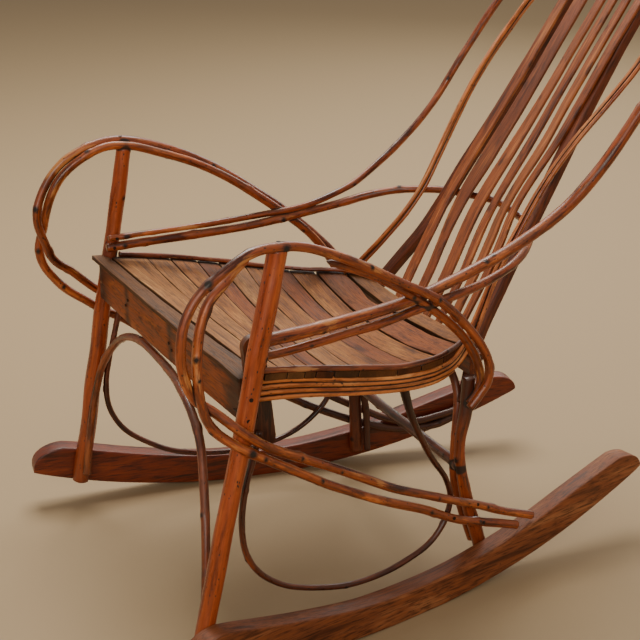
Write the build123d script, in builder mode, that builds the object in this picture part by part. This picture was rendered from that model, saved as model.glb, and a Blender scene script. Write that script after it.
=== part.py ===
from build123d import *
import math
import os

os.makedirs("parts", exist_ok=True)

# ---------------------------------------------------------------- dimensions
# Millimetres. The chair faces -Y, its left side (as one sits in it) is +X,
# and the floor is Z = 0. Tables of points are written about a datum line near
# the front of the seat and are moved back by DATUM_Y, so that the origin is
# the middle of the footprint.
DATUM_Y = 92.15

POST_D = 25.0          # front posts
LEG_D = 20.0           # rear legs
ARM_OUTER_D = 13.0     # outer rod of each arm loop
ARM_INNER_D = 12.8     # inner rod of each arm loop
STRETCHER_D = 12.6     # rod that runs from post to post round the back
HOOP_D = 16.0          # outer hoop of the back
ARCH_D = 12.4          # bow under the front of the seat
REAR_ARCH_D = 11.0     # bow between the rear legs
SIDE_BOW_D = 9.6       # round bows at the sides, under the seat
TWIG_D = 6.0           # seat side twigs that run on up the back
TWIG_PITCH = 6.3       # from twig to twig, a little more at the front
RIM_D = 7.0            # cover twig over the slat ends
RUNG_D = 16.0          # rung between the rear legs
NAIL_D = 1.8           # nail shanks

ROCKER_THICK = 32.0
ROCKER_TOE = 0.186     # the rockers close in by this much per unit of length
ROCKER_MID_X = 249.5   # middle of the rocker board at the datum line
ROCKER_R = 1163.0      # radius of the running edge
ROCKER_FLAT_Y = -42.0  # where the running edge meets the floor
WORN_FRONT = 35.0      # the running edge is worn flat this far in front of that
WORN_REAR = 60.0       # and this far behind it

SLAT_T = 9.0           # seat slats
FIRST_SLAT_T = 6.5     # the one on the front rail

BACK_SLOPE = 0.684     # how far the back leans, per unit of height
BACK_SLAT_T = 5.0
STILE_W = 21.0
STILE_T = 15.0


# ------------------------------------------------------------------- helpers
def at(p):
    """A table point in the chair's own frame."""
    return (p[0], p[1] - DATUM_Y, p[2])


def mirrored(points):
    """The same points on the other side of the chair."""
    return [(-x, y, z) for x, y, z in points]


def corner_radii(points, share=0.45):
    """The largest arc that fits each corner of a run of straight pieces."""
    radii = []
    for a, b, c in zip(points, points[1:], points[2:]):
        u = Vector(*b) - Vector(*a)
        v = Vector(*c) - Vector(*b)
        turn = math.radians(u.get_angle(v))
        radii.append(share * min(u.length, v.length) / math.tan(turn / 2))
    return radii


def rod_path(points):
    """Straight runs joined by tangent arcs, added to the line being drawn."""
    pts = [at(p) for p in points]
    if len(pts) == 2:
        Line(pts[0], pts[1])
    else:
        FilletPolyline(*pts, radius=corner_radii(pts))


def end_plane(points):
    """The plane across the start of a rod."""
    a, b = Vector(*at(points[0])), Vector(*at(points[1]))
    return Plane(origin=a, z_dir=b - a)


def unit(v):
    n = math.sqrt(sum(c * c for c in v))
    return tuple(c / n for c in v)


def beside(points, down, out):
    """A run of points that keeps beside another: down is measured square to
    the run on its lower side, out square to both."""
    moved = []
    last = len(points) - 1
    for i, p in enumerate(points):
        a = points[max(i - 1, 0)]
        b = points[min(i + 1, last)]
        t = unit([b[k] - a[k] for k in range(3)])
        n = [0 - t[2] * -1 * t[0], 0 - t[2] * -1 * t[1], -1 - t[2] * -1 * t[2]]
        n = unit(n)
        s = (t[1] * n[2] - t[2] * n[1], t[2] * n[0] - t[0] * n[2], t[0] * n[1] - t[1] * n[0])
        d = down[i] if isinstance(down, list) else down
        o = out[i] if isinstance(out, list) else out
        moved.append(tuple(p[k] + d * n[k] + o * s[k] for k in range(3)))
    return moved


def table(rows, y, col=1):
    """Straight-line reading of a table at y."""
    rows = sorted(rows)
    if y <= rows[0][0]:
        return rows[0][col]
    for a, b in zip(rows, rows[1:]):
        if y <= b[0]:
            f = (y - a[0]) / (b[0] - a[0])
            return a[col] + f * (b[col] - a[col])
    return rows[-1][col]


# -------------------------------------------------------------- route tables
post_left_ends = [(269.8, -237.4, 586.5), (290.5, -371, 46)]
post_right_ends = [(-269.8, -236.7, 588), (-285, -335, 42)]
leg_left_run = [(203, 91, 322), (204, 86, 272), (204, 78.5, 226), (203.5, 80, 188), (203, 91, 138), (200, 112, 70), (202, 124, 30)]
leg_right_run = [(-199, 119, 335), (-200, 124, 240), (-199, 124, 110), (-201.5, 127, 28)]

arm_outer_left_run = [
    (226, 80, 285), (226, 95, 302), (227, 107, 322), (226, 108, 348), (226, 94, 380), (227, 63, 421),
    (234, 16, 464), (244, -40, 497), (253, -96, 531), (262, -150, 561), (271, -200, 583), (277, -242, 592),
    (280, -278, 591), (284, -318, 573), (285, -354, 546), (286, -373, 514), (287, -379, 482), (286, -378, 457),
    (283, -370, 427), (281, -359, 408), (281, -349, 399), (286, -337, 389), (298, -314, 369), (300, -298, 356),
    (293, -267, 331), (280, -215, 298), (267, -140, 253), (251, -48, 198), (235, 45, 153), (223, 104, 124),
    (221, 148, 102), (222, 196, 84),
]
arm_inner_left_run = [
    (271, -279, 577), (273, -296, 568), (276, -312, 556), (280, -336, 537), (284, -351, 505), (287, -358, 470),
    (290, -360, 440), (292, -357, 411), (292, -349, 384), (293, -336, 364), (298, -314, 345), (300, -300, 335),
    (294, -267, 312), (284, -230, 286), (270, -165, 240), (256, -85, 194), (243, -8, 154), (232, 60, 116),
    (228, 112, 96.5), (228, 166, 78),
]
arm_rear_left_run = [
    (213, 86, 286), (213, 101, 304), (213, 105, 324), (213, 97, 352), (213.5, 76, 387), (217, 46, 420),
    (223, 9, 451), (230, -32, 482), (239, -82, 514), (250, -158, 551),
]
arm_outer_right_run = [
    (-226, 80, 285), (-226, 95, 302), (-227, 110, 322), (-226, 112, 348), (-226, 97, 380), (-227, 66, 412),
    (-234, 14, 463), (-244, -40, 504), (-253, -96, 542.5), (-262, -148, 570), (-271, -198.5, 589), (-277, -240, 598),
    (-280, -275, 596), (-282, -318, 580.6), (-283, -347, 558.6), (-283, -366, 531), (-281, -375.5, 504.6), (-280, -376, 482),
    (-279, -369, 455), (-283, -360, 430), (-288, -348, 414), (-293, -328, 398), (-298, -303, 375), (-299, -282, 357),
    (-295, -250, 334), (-282, -195, 295), (-267, -130, 252), (-251, -48, 198), (-233, 45, 152), (-210, 132, 102),
    (-187, 214, 67), (-175, 275, 70), (-165.5, 326, 85),
]
arm_inner_right_run = [
    (-213, 86, 286), (-213, 101, 304), (-213, 106, 324), (-213, 98, 352), (-213.5, 74, 392), (-217, 45, 427),
    (-223, 6, 461), (-230, -33, 492), (-239, -82, 528), (-248, -134, 555.5), (-256, -181.5, 575.3), (-264, -231.7, 590.6),
    (-267, -269.3, 592.6), (-272, -311.5, 574), (-274.5, -338.5, 552), (-277, -354.3, 526.5), (-286.5, -361.8, 495.8), (-292, -365.8, 470.9),
    (-295.5, -370, 455), (-297, -373, 438), (-298, -368, 413), (-300, -353, 389), (-300, -330, 363), (-300, -301, 341),
    (-299, -277, 323), (-294, -240, 300), (-284, -195, 264), (-270, -140, 225), (-256, -80, 190), (-242, -8, 150),
    (-225, 65, 108), (-207, 133, 76), (-188.5, 205, 54), (-177, 265, 54), (-168, 315, 72),
]
stretcher_run = [
    (-255, -278, 438), (-250, -226, 439), (-243, -170, 441), (-236, -115, 443), (-229, -60, 446), (-221, -5, 452),
    (-214, 50, 459), (-207, 100, 467), (-194, 146, 477), (-174, 190, 485), (-142, 229, 489), (-100, 258, 491),
    (-50, 273, 492), (0, 277, 492), (50, 271, 491), (100, 254, 489), (143, 226, 486), (178, 190, 480),
    (199, 148, 471), (210, 100, 462), (217, 48, 456), (223, -10, 448), (230, -69, 442), (237, -130, 439),
    (246, -190, 438), (253, -262, 438),
]
hoop_run = [
    (-255, -274, 453), (-251, -225, 453), (-243, -162, 455), (-234, -98, 458), (-225, -33, 463), (-216, 33, 469),
    (-213, 84, 480), (-215, 132, 495), (-220, 180, 522), (-226, 238, 563), (-230, 286, 608), (-233, 345, 683),
    (-233, 398, 750), (-229, 452, 818), (-214, 501, 880), (-183, 538, 930), (-134, 562, 964), (-70, 577, 985),
    (0, 581, 991), (70, 578, 986), (134, 564, 966), (183, 540, 932), (214, 502, 882), (230, 454, 820),
    (234, 400, 752), (233, 347, 690), (230, 288, 616), (226, 238, 566), (221, 190, 533), (216, 142, 508),
    (212, 97, 490), (213, 48, 475), (220, -2, 466), (230, -67, 461), (239, -133, 459), (248, -198, 459),
    (253, -262, 459),
]
rim_left_run = [
    (263, -259, 423.2), (259, -218, 416.4), (256, -173, 407.3), (252, -127, 396.8), (247, -79, 386.6), (239, -40, 378),
    (225, 0, 370), (208, 38, 365), (189, 73, 364.7), (170, 100, 365),
]
rim_right_run = [
    (-264, -256, 421.8), (-259, -215, 415.6), (-256, -173, 407.3), (-252, -127, 396.8), (-246, -79, 386.6), (-236, -35, 377),
    (-221, 6, 369.5), (-205, 42, 365), (-186, 76, 364.7), (-160, 103, 365), (-122, 121, 366),
]
front_arch_run = [
    (-261, -331, 62), (-262, -325, 110), (-263, -316, 160), (-261, -307, 205), (-252, -298, 247), (-228, -290, 284),
    (-188, -285, 314), (-135, -284, 333), (-60, -286, 340), (20, -292, 341), (80, -299, 337), (130, -304, 321),
    (170, -310, 292), (203, -321, 250), (232, -332, 205), (252, -342, 152), (264, -352, 100), (267, -360, 62),
]
rear_arch_run = [
    (-182, 138, 34), (-183, 136, 95), (-184, 128, 160), (-182, 118, 220), (-174, 108, 268), (-150, 101, 304),
    (-108, 97, 322), (-50, 95, 329), (0, 94, 330), (50, 92, 329), (108, 92, 325), (149, 94, 311),
    (172, 93, 281), (181, 87, 250), (184, 82, 215), (184, 82, 160), (182, 98, 100), (179, 118, 44),
]
side_bow_left_run = [
    (257, -262, 336), (258, -272, 300), (259, -286, 255), (260, -293, 212), (260, -288, 168), (258, -268, 130),
    (253, -235, 100), (247, -190, 78), (240, -130, 62), (232, -70, 58), (224, -20, 64), (217, 20, 77),
    (213, 48, 104), (211, 60, 138), (210, 52, 172), (211, 28, 210), (214, 6, 252), (219, -11, 290), (223, -24, 326),
    (226, -30, 346),
]
side_bow_right_run = [
    (-257, -262, 336), (-258, -272, 300), (-259, -284, 255), (-260, -291, 212), (-260, -287, 168), (-258, -267, 130),
    (-253, -235, 103), (-247, -190, 79), (-240, -130, 64), (-233, -70, 60), (-225, -15, 66), (-220, 35, 86),
    (-216, 76, 121), (-213, 89, 158), (-212, 80, 196), (-214, 55, 235), (-218, 25, 275), (-223, 2, 315),
]
# Middle line of the uppermost side twig: along the seat under the slat ends,
# round the rear corner, up the back and over the top.
side_twig_run = [
    (258, -287, 408.5), (256, -235, 403), (254, -190, 394.9), (251, -142, 383.8), (247, -94, 373.2), (239, -48, 363.2),
    (226, -5, 354.6), (209, 36, 348.8), (191, 72, 349.5), (175, 101, 365), (161, 129, 396), (149, 153, 427),
    (139, 178, 459), (134, 206, 498), (135, 235, 545), (140, 262, 587), (149, 296, 634), (159, 335, 680),
    (166, 376, 727), (166, 420, 782), (154, 464, 836), (128, 499, 880), (86, 524, 910), (40, 533, 923),
]

SLAT_TOPS = [(-303, 420), (-270.5, 419.3), (-264.6, 419.2), (-259, 418.8), (-235, 415.5), (-218, 412.4), (-190, 407.2),
             (-173, 403.6), (-142, 396.1), (-127, 392.7), (-94, 385.5), (-79, 382.5), (-48, 375.5), (-44, 374.7),
             (-5, 366.9), (36, 361.3), (75, 360.5), (99, 360.5), (130, 360.5)]
SEAT_HALF = [(-303, 290), (-275, 266), (-259, 264), (-218, 261), (-173, 258), (-127, 254), (-79, 249), (-44, 241),
             (-5, 227.5), (38, 210), (75, 189), (99, 172), (112, 156), (122, 138), (130, 120)]


# ------------------------------------------------------------------- rockers
def rocker_bottom(s):
    return ROCKER_R - math.sqrt(ROCKER_R ** 2 - (s - ROCKER_FLAT_Y) ** 2)


ROCKER_TOP = [(-352, 97), (-323, 91), (-287, 82), (-223, 67), (-124, 49.5), (-40, 45), (35, 47), (100, 55),
              (140, 61.5), (205, 77), (260, 93.5), (314, 109), (372, 125)]


def rocker_plane(side):
    """A plane along the rocker board: x runs back along it and y runs up."""
    along = Vector(-side * ROCKER_TOE, 1, 0).normalized()
    return Plane(origin=(side * ROCKER_MID_X, -DATUM_Y, 0), x_dir=along, z_dir=along.cross(Vector(0, 0, 1)))


STRETCH = math.sqrt(1 + ROCKER_TOE ** 2)
front_tip = (-401 * STRETCH, 62)
rear_tip = (419 * STRETCH, 99)


def rocker_outline():
    bottom_start, bottom_end = -394 * STRETCH, 412 * STRETCH
    # The middle of the running edge is worn flat over a short length.
    flat_start, flat_end = ROCKER_FLAT_Y - WORN_FRONT, ROCKER_FLAT_Y + WORN_REAR
    wear, rear_wear = rocker_bottom(flat_start), rocker_bottom(flat_end)
    front_mid = (bottom_start + flat_start) / 2
    rear_mid = (bottom_end + flat_end) / 2
    ThreePointArc((bottom_start, rocker_bottom(bottom_start) - wear), (front_mid, rocker_bottom(front_mid) - wear), (flat_start, 0))
    Line((flat_start, 0), (flat_end, 0))
    ThreePointArc((flat_end, 0), (rear_mid, rocker_bottom(rear_mid) - rear_wear), (bottom_end, rocker_bottom(bottom_end) - rear_wear))
    Line((bottom_end, rocker_bottom(bottom_end) - rear_wear), rear_tip)
    rear_top = (384 * STRETCH, 125.5)
    ThreePointArc(rear_tip, (406 * STRETCH, 117.5), rear_top)
    top = [(s * STRETCH, z) for s, z in ROCKER_TOP]
    Line(rear_top, top[-1])
    Spline(*reversed(top))
    front_top = top[0]
    ThreePointArc(front_top, (-384 * STRETCH, 85), front_tip)
    Line(front_tip, (bottom_start, rocker_bottom(bottom_start) - wear))


with BuildPart() as rocker_left:
    with BuildSketch(rocker_plane(1)):
        with BuildLine():
            rocker_outline()
        make_face()
    extrude(amount=ROCKER_THICK / 2, both=True)
    fillet(rocker_left.edges().filter_by(GeomType.LINE, reverse=True).filter_by(lambda e: e.length > 300), radius=2.0)

with BuildPart() as rocker_right:
    with BuildSketch(rocker_plane(-1)):
        with BuildLine():
            rocker_outline()
        make_face()
    extrude(amount=ROCKER_THICK / 2, both=True)
    fillet(rocker_right.edges().filter_by(GeomType.LINE, reverse=True).filter_by(lambda e: e.length > 300), radius=2.0)


# ------------------------------------------------------------ posts and legs
with BuildPart() as front_post_left:
    with BuildLine() as line:
        rod_path(post_left_ends)
    with BuildSketch(end_plane(post_left_ends)):
        Circle(POST_D / 2)
    sweep(path=line.wire())
    chamfer(front_post_left.edges().filter_by(GeomType.CIRCLE), length=1.5)
    add(rocker_left.part, mode=Mode.SUBTRACT)

with BuildPart() as front_post_right:
    with BuildLine() as line:
        rod_path(post_right_ends)
    with BuildSketch(end_plane(post_right_ends)):
        Circle(POST_D / 2)
    sweep(path=line.wire())
    chamfer(front_post_right.edges().filter_by(GeomType.CIRCLE), length=1.5)
    add(rocker_right.part, mode=Mode.SUBTRACT)

with BuildPart() as rear_leg_left:
    with BuildLine() as line:
        rod_path(leg_left_run)
    with BuildSketch(end_plane(leg_left_run)):
        Circle(LEG_D / 2)
    sweep(path=line.wire())
    add(rocker_left.part, mode=Mode.SUBTRACT)

with BuildPart() as rear_leg_right:
    with BuildLine() as line:
        rod_path(leg_right_run)
    with BuildSketch(end_plane(leg_right_run)):
        Circle(LEG_D / 2)
    sweep(path=line.wire())
    add(rocker_right.part, mode=Mode.SUBTRACT)

posts_and_legs = [front_post_left, front_post_right, rear_leg_left, rear_leg_right]
rockers = [rocker_left, rocker_right]
finished = {
    "rocker_left": rocker_left,
    "rocker_right": rocker_right,
    "front_post_left": front_post_left,
    "front_post_right": front_post_right,
    "rear_leg_left": rear_leg_left,
    "rear_leg_right": rear_leg_right,
}


def near(a, b, gap=1.0):
    """Whether the boxes round two pieces come within a gap of each other."""
    p, q = a.bounding_box(), b.bounding_box()
    return all(
        getattr(p.min, k) - gap < getattr(q.max, k) and getattr(q.min, k) - gap < getattr(p.max, k)
        for k in ("X", "Y", "Z")
    )


def cope(piece, others):
    """Hollow out a piece where it bears on others, as a whittled joint does."""
    for other in others:
        if near(piece.part, other.part):
            add(other.part, mode=Mode.SUBTRACT)


def keep_largest(piece):
    """Drop the shavings that coping may leave."""
    solids = piece.part.solids()
    if len(solids) > 1:
        return Part() + solids.sort_by(SortBy.VOLUME)[-1]
    return piece.part


# ---------------------------------------------------------------- front rail
with BuildPart() as front_seat_rail:
    with BuildSketch(Plane.XZ.offset(290 + DATUM_Y)):
        with BuildLine():
            Polyline((-266, 412.5), (266, 412.5), (266, 356), (150, 353), (0, 351.5), (-150, 353), (-266, 356), close=True)
        make_face()
    extrude(amount=-24)
    fillet(front_seat_rail.edges().filter_by(Axis.X), radius=2.5)
    cope(front_seat_rail, posts_and_legs)

# The bar that closes the back of the seat, with its rear face on the slope of
# the back.
with BuildPart() as rear_seat_rail:
    with BuildSketch(Plane.YZ.offset(-190)):
        with BuildLine():
            Polyline((98 - DATUM_Y, 349), (126.3 - DATUM_Y, 349), (106.5 - DATUM_Y, 320), (98 - DATUM_Y, 320), close=True)
        make_face()
    extrude(amount=384)
    # Its top is hollowed to follow the dish of the last slat.
    with BuildSketch(Plane.XZ):
        with BuildLine():
            ThreePointArc((-190, 349.5), (0, 339), (190, 349.5))
            Polyline((190, 349.5), (200, 349.5), (200, 360), (-200, 360), (-200, 349.5), (-190, 349.5))
        make_face()
    extrude(amount=80, both=True, mode=Mode.SUBTRACT)
    cope(rear_seat_rail, posts_and_legs)

with BuildPart() as rear_rung:
    rung_ends = [(-199, 124, 149), (204, 80, 181)]
    with BuildLine() as line:
        rod_path(rung_ends)
    with BuildSketch(end_plane(rung_ends)):
        Circle(RUNG_D / 2)
    sweep(path=line.wire())
    cope(rear_rung, posts_and_legs)

finished["front_seat_rail"] = front_seat_rail
finished["rear_seat_rail"] = rear_seat_rail
finished["rear_rung"] = rear_rung


# ------------------------------------------------------------ bent side twigs
def twig_runs(side):
    count = len(side_twig_run)
    runs = []
    # Three twigs lie one under another along the seat and draw into a bundle
    # of three up the back; the fourth stops at the rear leg.
    bend = [0.0] * 8 + [0.2, 0.55, 0.85] + [1.0] * (count - 11)
    crown = [0.0] * (count - 6) + [0.15, 0.4, 0.75, 1.0, 1.0, 1.0]
    pitch = [7.9, 7.9, 7.5, 6.9, 6.5] + [TWIG_PITCH] * (count - 5)
    drop = 0.0 if side > 0 else 17.0
    down = [[c * drop for c in crown]]
    down.append([d + q for d, q in zip(down[0], pitch)])
    # Past the rear corner the third twig rolls round the second, to lie
    # behind the pair.
    roll = [math.radians(120 * f) for f in bend]
    lead = [q * (1 + 0.035 * math.sin(math.pi * f)) for q, f in zip(pitch, bend)]
    down.append([d + q * math.cos(a) for d, q, a in zip(down[1], lead, roll)])
    down.append([3 * q for q in pitch])
    out = [[0.0] * count, [0.0] * count, [-q * math.sin(a) for q, a in zip(lead, roll)], [0.0] * count]
    runs = [beside(side_twig_run, down[k], out[k]) for k in range(3)]
    runs = [run + [(-45, run[-1][1] - 1, run[-1][2] - 2)] for run in runs]
    runs.append(beside(side_twig_run[:9], down[3][:9], out[3][:9]))
    if side < 0:
        runs = [mirrored(run) for run in runs]
    return runs


twigs = {}
for side, word in ((1, "left"), (-1, "right")):
    for number, run in enumerate(twig_runs(side), start=1):
        with BuildPart() as twig:
            with BuildLine() as line:
                rod_path(run)
            with BuildSketch(end_plane(run)):
                Circle(TWIG_D / 2)
            sweep(path=line.wire())
            cope(twig, posts_and_legs + [rear_seat_rail, front_seat_rail])
        twigs[f"side_twig_{word}_{number}"] = twig
finished.update(twigs)

# --------------------------------------------------------------- bent rods
rods = {
    "arm_stretcher": (stretcher_run, STRETCHER_D),
    "back_hoop": (hoop_run, HOOP_D),
    "arm_loop_outer_left": (arm_outer_left_run, ARM_OUTER_D),
    "arm_loop_inner_left": (arm_inner_left_run, ARM_INNER_D),
    "arm_rear_rod_left": (arm_rear_left_run, ARM_INNER_D),
    "arm_loop_outer_right": (arm_outer_right_run, ARM_OUTER_D),
    "arm_loop_inner_right": (arm_inner_right_run, ARM_INNER_D),
    "front_arch": (front_arch_run, ARCH_D),
    "rear_arch": (rear_arch_run, REAR_ARCH_D),
    "side_bow_left": (side_bow_left_run, SIDE_BOW_D),
    "side_bow_right": (side_bow_right_run, SIDE_BOW_D),
    "seat_rim_twig_left": (rim_left_run, RIM_D),
    "seat_rim_twig_right": (rim_right_run, RIM_D),
}
for name, (run, across) in rods.items():
    with BuildPart() as rod:
        with BuildLine() as line:
            rod_path(run)
        with BuildSketch(end_plane(run)):
            Circle(across / 2)
        sweep(path=line.wire())
        cope(rod, list(finished.values()))
    finished[name] = rod

# ------------------------------------------------------------------- seat
# The seams between the slats, from the front: where each crosses the middle of
# the chair, how much it runs askew, and how wide it gapes.
SEAMS = [
    (-264.2, 0.0236, 4.5),
    (-218.0, -0.0153, 1.4),
    (-185.0, -0.0425, 1.4),
    (-154.8, -0.0975, 1.4),
    (-122.7, -0.1105, 1.8),
    (-82.9, -0.1190, 1.4),
    (-33.7, -0.0590, 1.6),
    (7.6, -0.0337, 1.8),
    (50.0, -0.0098, 2.6),
    (93.5, 0.0028, 5.0),
]
SEAT_FRONT = -294
SEAT_BACK = 120.5
# How far the middle of each slat lies below its ends.
DISHES = [1.5, 10, 12.5, 13, 14, 17, 22, 26, 27, 20, 10]


def slat_edges():
    """For each slat, its front and its rear edge as (y at the middle, slope)."""
    edges = []
    front = (SEAT_FRONT, 0.0)
    for y, slope, gap in SEAMS:
        edges.append((front, (y - gap / 2, slope)))
        front = (y + gap / 2, slope)
    edges.append((front, (SEAT_BACK, 0.0)))
    return edges


def slat_corner(side, edge):
    """Where an edge of a slat meets the outline of the seat."""
    y = edge[0]
    for _ in range(8):
        y = edge[0] + edge[1] * side * table(SEAT_HALF, y)
    return side * table(SEAT_HALF, y), y - DATUM_Y


def slat_block(front, rear, index):
    """One seat slat: a dished strip, cut to the seat's outline at its ends."""
    y0, y1 = front[0], rear[0]
    z0, z1 = table(SLAT_TOPS, y0), table(SLAT_TOPS, y1)
    slope = Vector(0, y1 - y0, z1 - z0).normalized()
    frame = Plane(origin=Vector(0, y0 - DATUM_Y, z0) - slope * 45, x_dir=(1, 0, 0), z_dir=slope)
    corners = [slat_corner(-1, front), slat_corner(1, front), slat_corner(1, rear), slat_corner(-1, rear)]
    half = max(abs(x) for x, y in corners) + 4
    dish = DISHES[index]
    thick = SLAT_T if index else FIRST_SLAT_T
    run = math.hypot(y1 - y0, z1 - z0)
    # In this plane x is across the chair and y is square to the slat.
    with BuildPart() as strip:
        with BuildSketch(frame):
            with BuildLine():
                up = 1 if frame.y_dir.Z > 0 else -1
                ThreePointArc((-half, 0), (0, -up * dish), (half, 0))
                Line((half, 0), (half, -up * thick))
                ThreePointArc((half, -up * thick), (0, -up * (dish + thick)), (-half, -up * thick))
                Line((-half, -up * thick), (-half, 0))
            make_face()
        extrude(amount=run + 90)
        with BuildSketch(Plane.XY.offset(300)):
            with BuildLine():
                if index == 0:
                    Polyline((-282, y0 - DATUM_Y), (266, y0 - DATUM_Y), (266, y1 + rear[1] * 266 - DATUM_Y), (-276, y1 - rear[1] * 276 - DATUM_Y), close=True)
                else:
                    middle = ((y0 + y1) / 2, (front[1] + rear[1]) / 2)
                    outline = corners[:2] + [slat_corner(1, middle)] + corners[2:] + [slat_corner(-1, middle)]
                    Polyline(*outline, close=True)
            make_face()
        extrude(amount=200, mode=Mode.INTERSECT)
        cope(strip, list(finished.values()))
    return strip


slats = {}
for i, (front_edge, rear_edge) in enumerate(slat_edges()):
    slats[f"seat_slat_{i + 1:02d}"] = slat_block(front_edge, rear_edge, i)
finished.update(slats)


# ------------------------------------------------------------------- back
def stile_y(z):
    return 147 + (z - 356) * BACK_SLOPE


def back_plane(offset):
    """A plane on the slope of the back: x across, y up the slope."""
    up = Vector(0, BACK_SLOPE, 1).normalized()
    square = Vector(1, 0, 0).cross(up)
    origin = Vector(0, stile_y(356) - DATUM_Y, 356) + square * offset
    return Plane(origin=origin, x_dir=(1, 0, 0), z_dir=square)


def up_slope(z):
    return (z - 356) * math.sqrt(1 + BACK_SLOPE ** 2)


# Stiles: straight bars behind the slats, splayed at the foot to reach the
# rear legs.
for side, word in ((1, "left"), (-1, "right")):
    with BuildPart() as stile:
        foot = (side * 189, 276) if side > 0 else (side * 186, 294)
        top = 892 if side > 0 else 884
        if side > 0:
            points = [foot, (166, 312), (143, 346), (127, 424), (106, 566), (92, 660), (84, 760), (80, top)]
        else:
            points = [foot, (-166, 312), (-146, 346), (-130, 385), (-112, 434), (-105, 480), (-101, 545), (-95, 610), (-88, 700), (-80, top)]
        with BuildSketch(back_plane(0)):
            with BuildLine():
                left_edge = [(x - STILE_W / 2 * (1.0 if z > 330 else 0.75), up_slope(z)) for x, z in points]
                right_edge = [(x + STILE_W / 2 * (1.0 if z > 330 else 0.75), up_slope(z)) for x, z in points]
                Polyline(*left_edge, *reversed(right_edge), close=True)
            make_face()
        extrude(amount=STILE_T / 2, both=True)
        cope(stile, list(finished.values()))
    finished[f"back_stile_{word}"] = stile

slat_offset = STILE_T / 2 + BACK_SLAT_T / 2 + 0.2
back_slats = [
    # (x, z, width) from the foot to the top
    [(-60, 327, 17), (-72, 381, 20), (-80, 430, 22), (-87, 490, 21), (-87, 561, 23), (-82, 650, 22), (-80, 800, 20), (-79, 986, 18)],
    [(-20, 327, 17), (-29, 390, 19), (-38, 425, 20), (-46, 460, 24), (-50, 500, 29), (-46, 565, 33), (-43, 633, 30), (-41, 800, 27), (-39, 993, 24)],
    [(22, 327, 18), (11, 405, 24), (3, 440, 25), (-3, 470, 26), (-6, 507, 26), (-1, 580, 23), (2, 642, 19), (4, 800, 18), (6, 996, 17)],
    [(58, 327, 15), (45, 415, 17), (38, 443, 18), (31, 475, 17), (27, 514, 16), (29, 586, 17), (29, 647, 17), (31, 800, 17), (32, 995, 16)],
    [(86, 327, 15), (71, 430, 17), (64, 465, 18), (57, 492, 17), (55, 525, 17), (60, 594, 18), (57, 652, 18), (59, 800, 17), (61, 993, 16)],
    [(110, 327, 14), (97, 430, 15), (88, 468, 15), (79, 500, 14), (77, 530, 14), (85, 599, 15), (85, 658, 16), (87, 800, 16), (89, 988, 15)],
]
for i, stations in enumerate(back_slats, start=1):
    with BuildPart() as slat:
        with BuildSketch(back_plane(slat_offset)):
            with BuildLine():
                left_edge = [(x - w / 2, up_slope(z)) for x, z, w in stations]
                right_edge = [(x + w / 2, up_slope(z)) for x, z, w in stations]
                Polyline(*left_edge, *reversed(right_edge), close=True)
            make_face()
        extrude(amount=BACK_SLAT_T / 2, both=True)
        cope(slat, list(finished.values()))
    finished[f"back_slat_{i}"] = slat

# --------------------------------------------------------------- corner cleat
with BuildPart() as corner_cleat:
    cleat_top = Vector(246.5, -267 - DATUM_Y, 468)
    cleat_foot = Vector(247.5, -250 - DATUM_Y, 308)
    up = (cleat_top - cleat_foot).normalized()
    with BuildSketch(Plane(origin=(cleat_top + cleat_foot) * 0.5, x_dir=up, z_dir=(1, 0, 0))):
        SlotOverall((cleat_top - cleat_foot).length, 30)
    extrude(amount=5.5, both=True)
    cope(corner_cleat, list(finished.values()))
finished["corner_cleat"] = corner_cleat

# --------------------------------------------------------------------- nails
def nail_group(nails, touched):
    """Wire nails: each is a head's middle point, the way the nail is driven,
    its length and its head's diameter. The pieces they pass through get the
    same holes."""
    with BuildPart() as group:
        for head, way, length, head_d in nails:
            with BuildSketch(Plane(origin=at(head), z_dir=way)):
                Circle(head_d / 2)
            extrude(amount=1.0)
            with BuildSketch(Plane(origin=at(head), z_dir=way)):
                Circle(NAIL_D / 2)
            extrude(amount=length)
    for name in touched:
        piece = finished[name]
        if near(piece.part, group.part):
            with piece:
                add(group.part, mode=Mode.SUBTRACT)
    return group


seat_nails = []
for i, (front_edge, rear_edge) in enumerate(slat_edges()):
    mid = (front_edge[0] + rear_edge[0]) / 2
    askew = (front_edge[1] + rear_edge[1]) / 2
    if i == 0:
        for x in (-190, -64, 62, 188):
            seat_nails.append(((x, mid + 3, table(SLAT_TOPS, mid + 3) + 0.4 - 1.5 * (1 - (x / 287) ** 2)), (0, 0, -1), 26, 5.0))
    elif i < 10:
        for side in (-1, 1):
            y = mid + askew * side * table(SEAT_HALF, mid)
            seat_nails.append(((side * (table(SEAT_HALF, y) - 9.5), y, table(SLAT_TOPS, y) - 1.2), (0, 0, -1), 14, 4.0))
slat_names = [n for n in finished if n.startswith(("seat_slat", "side_twig"))] + ["front_seat_rail"]
finished["seat_nails"] = nail_group(seat_nails, slat_names)

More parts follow.
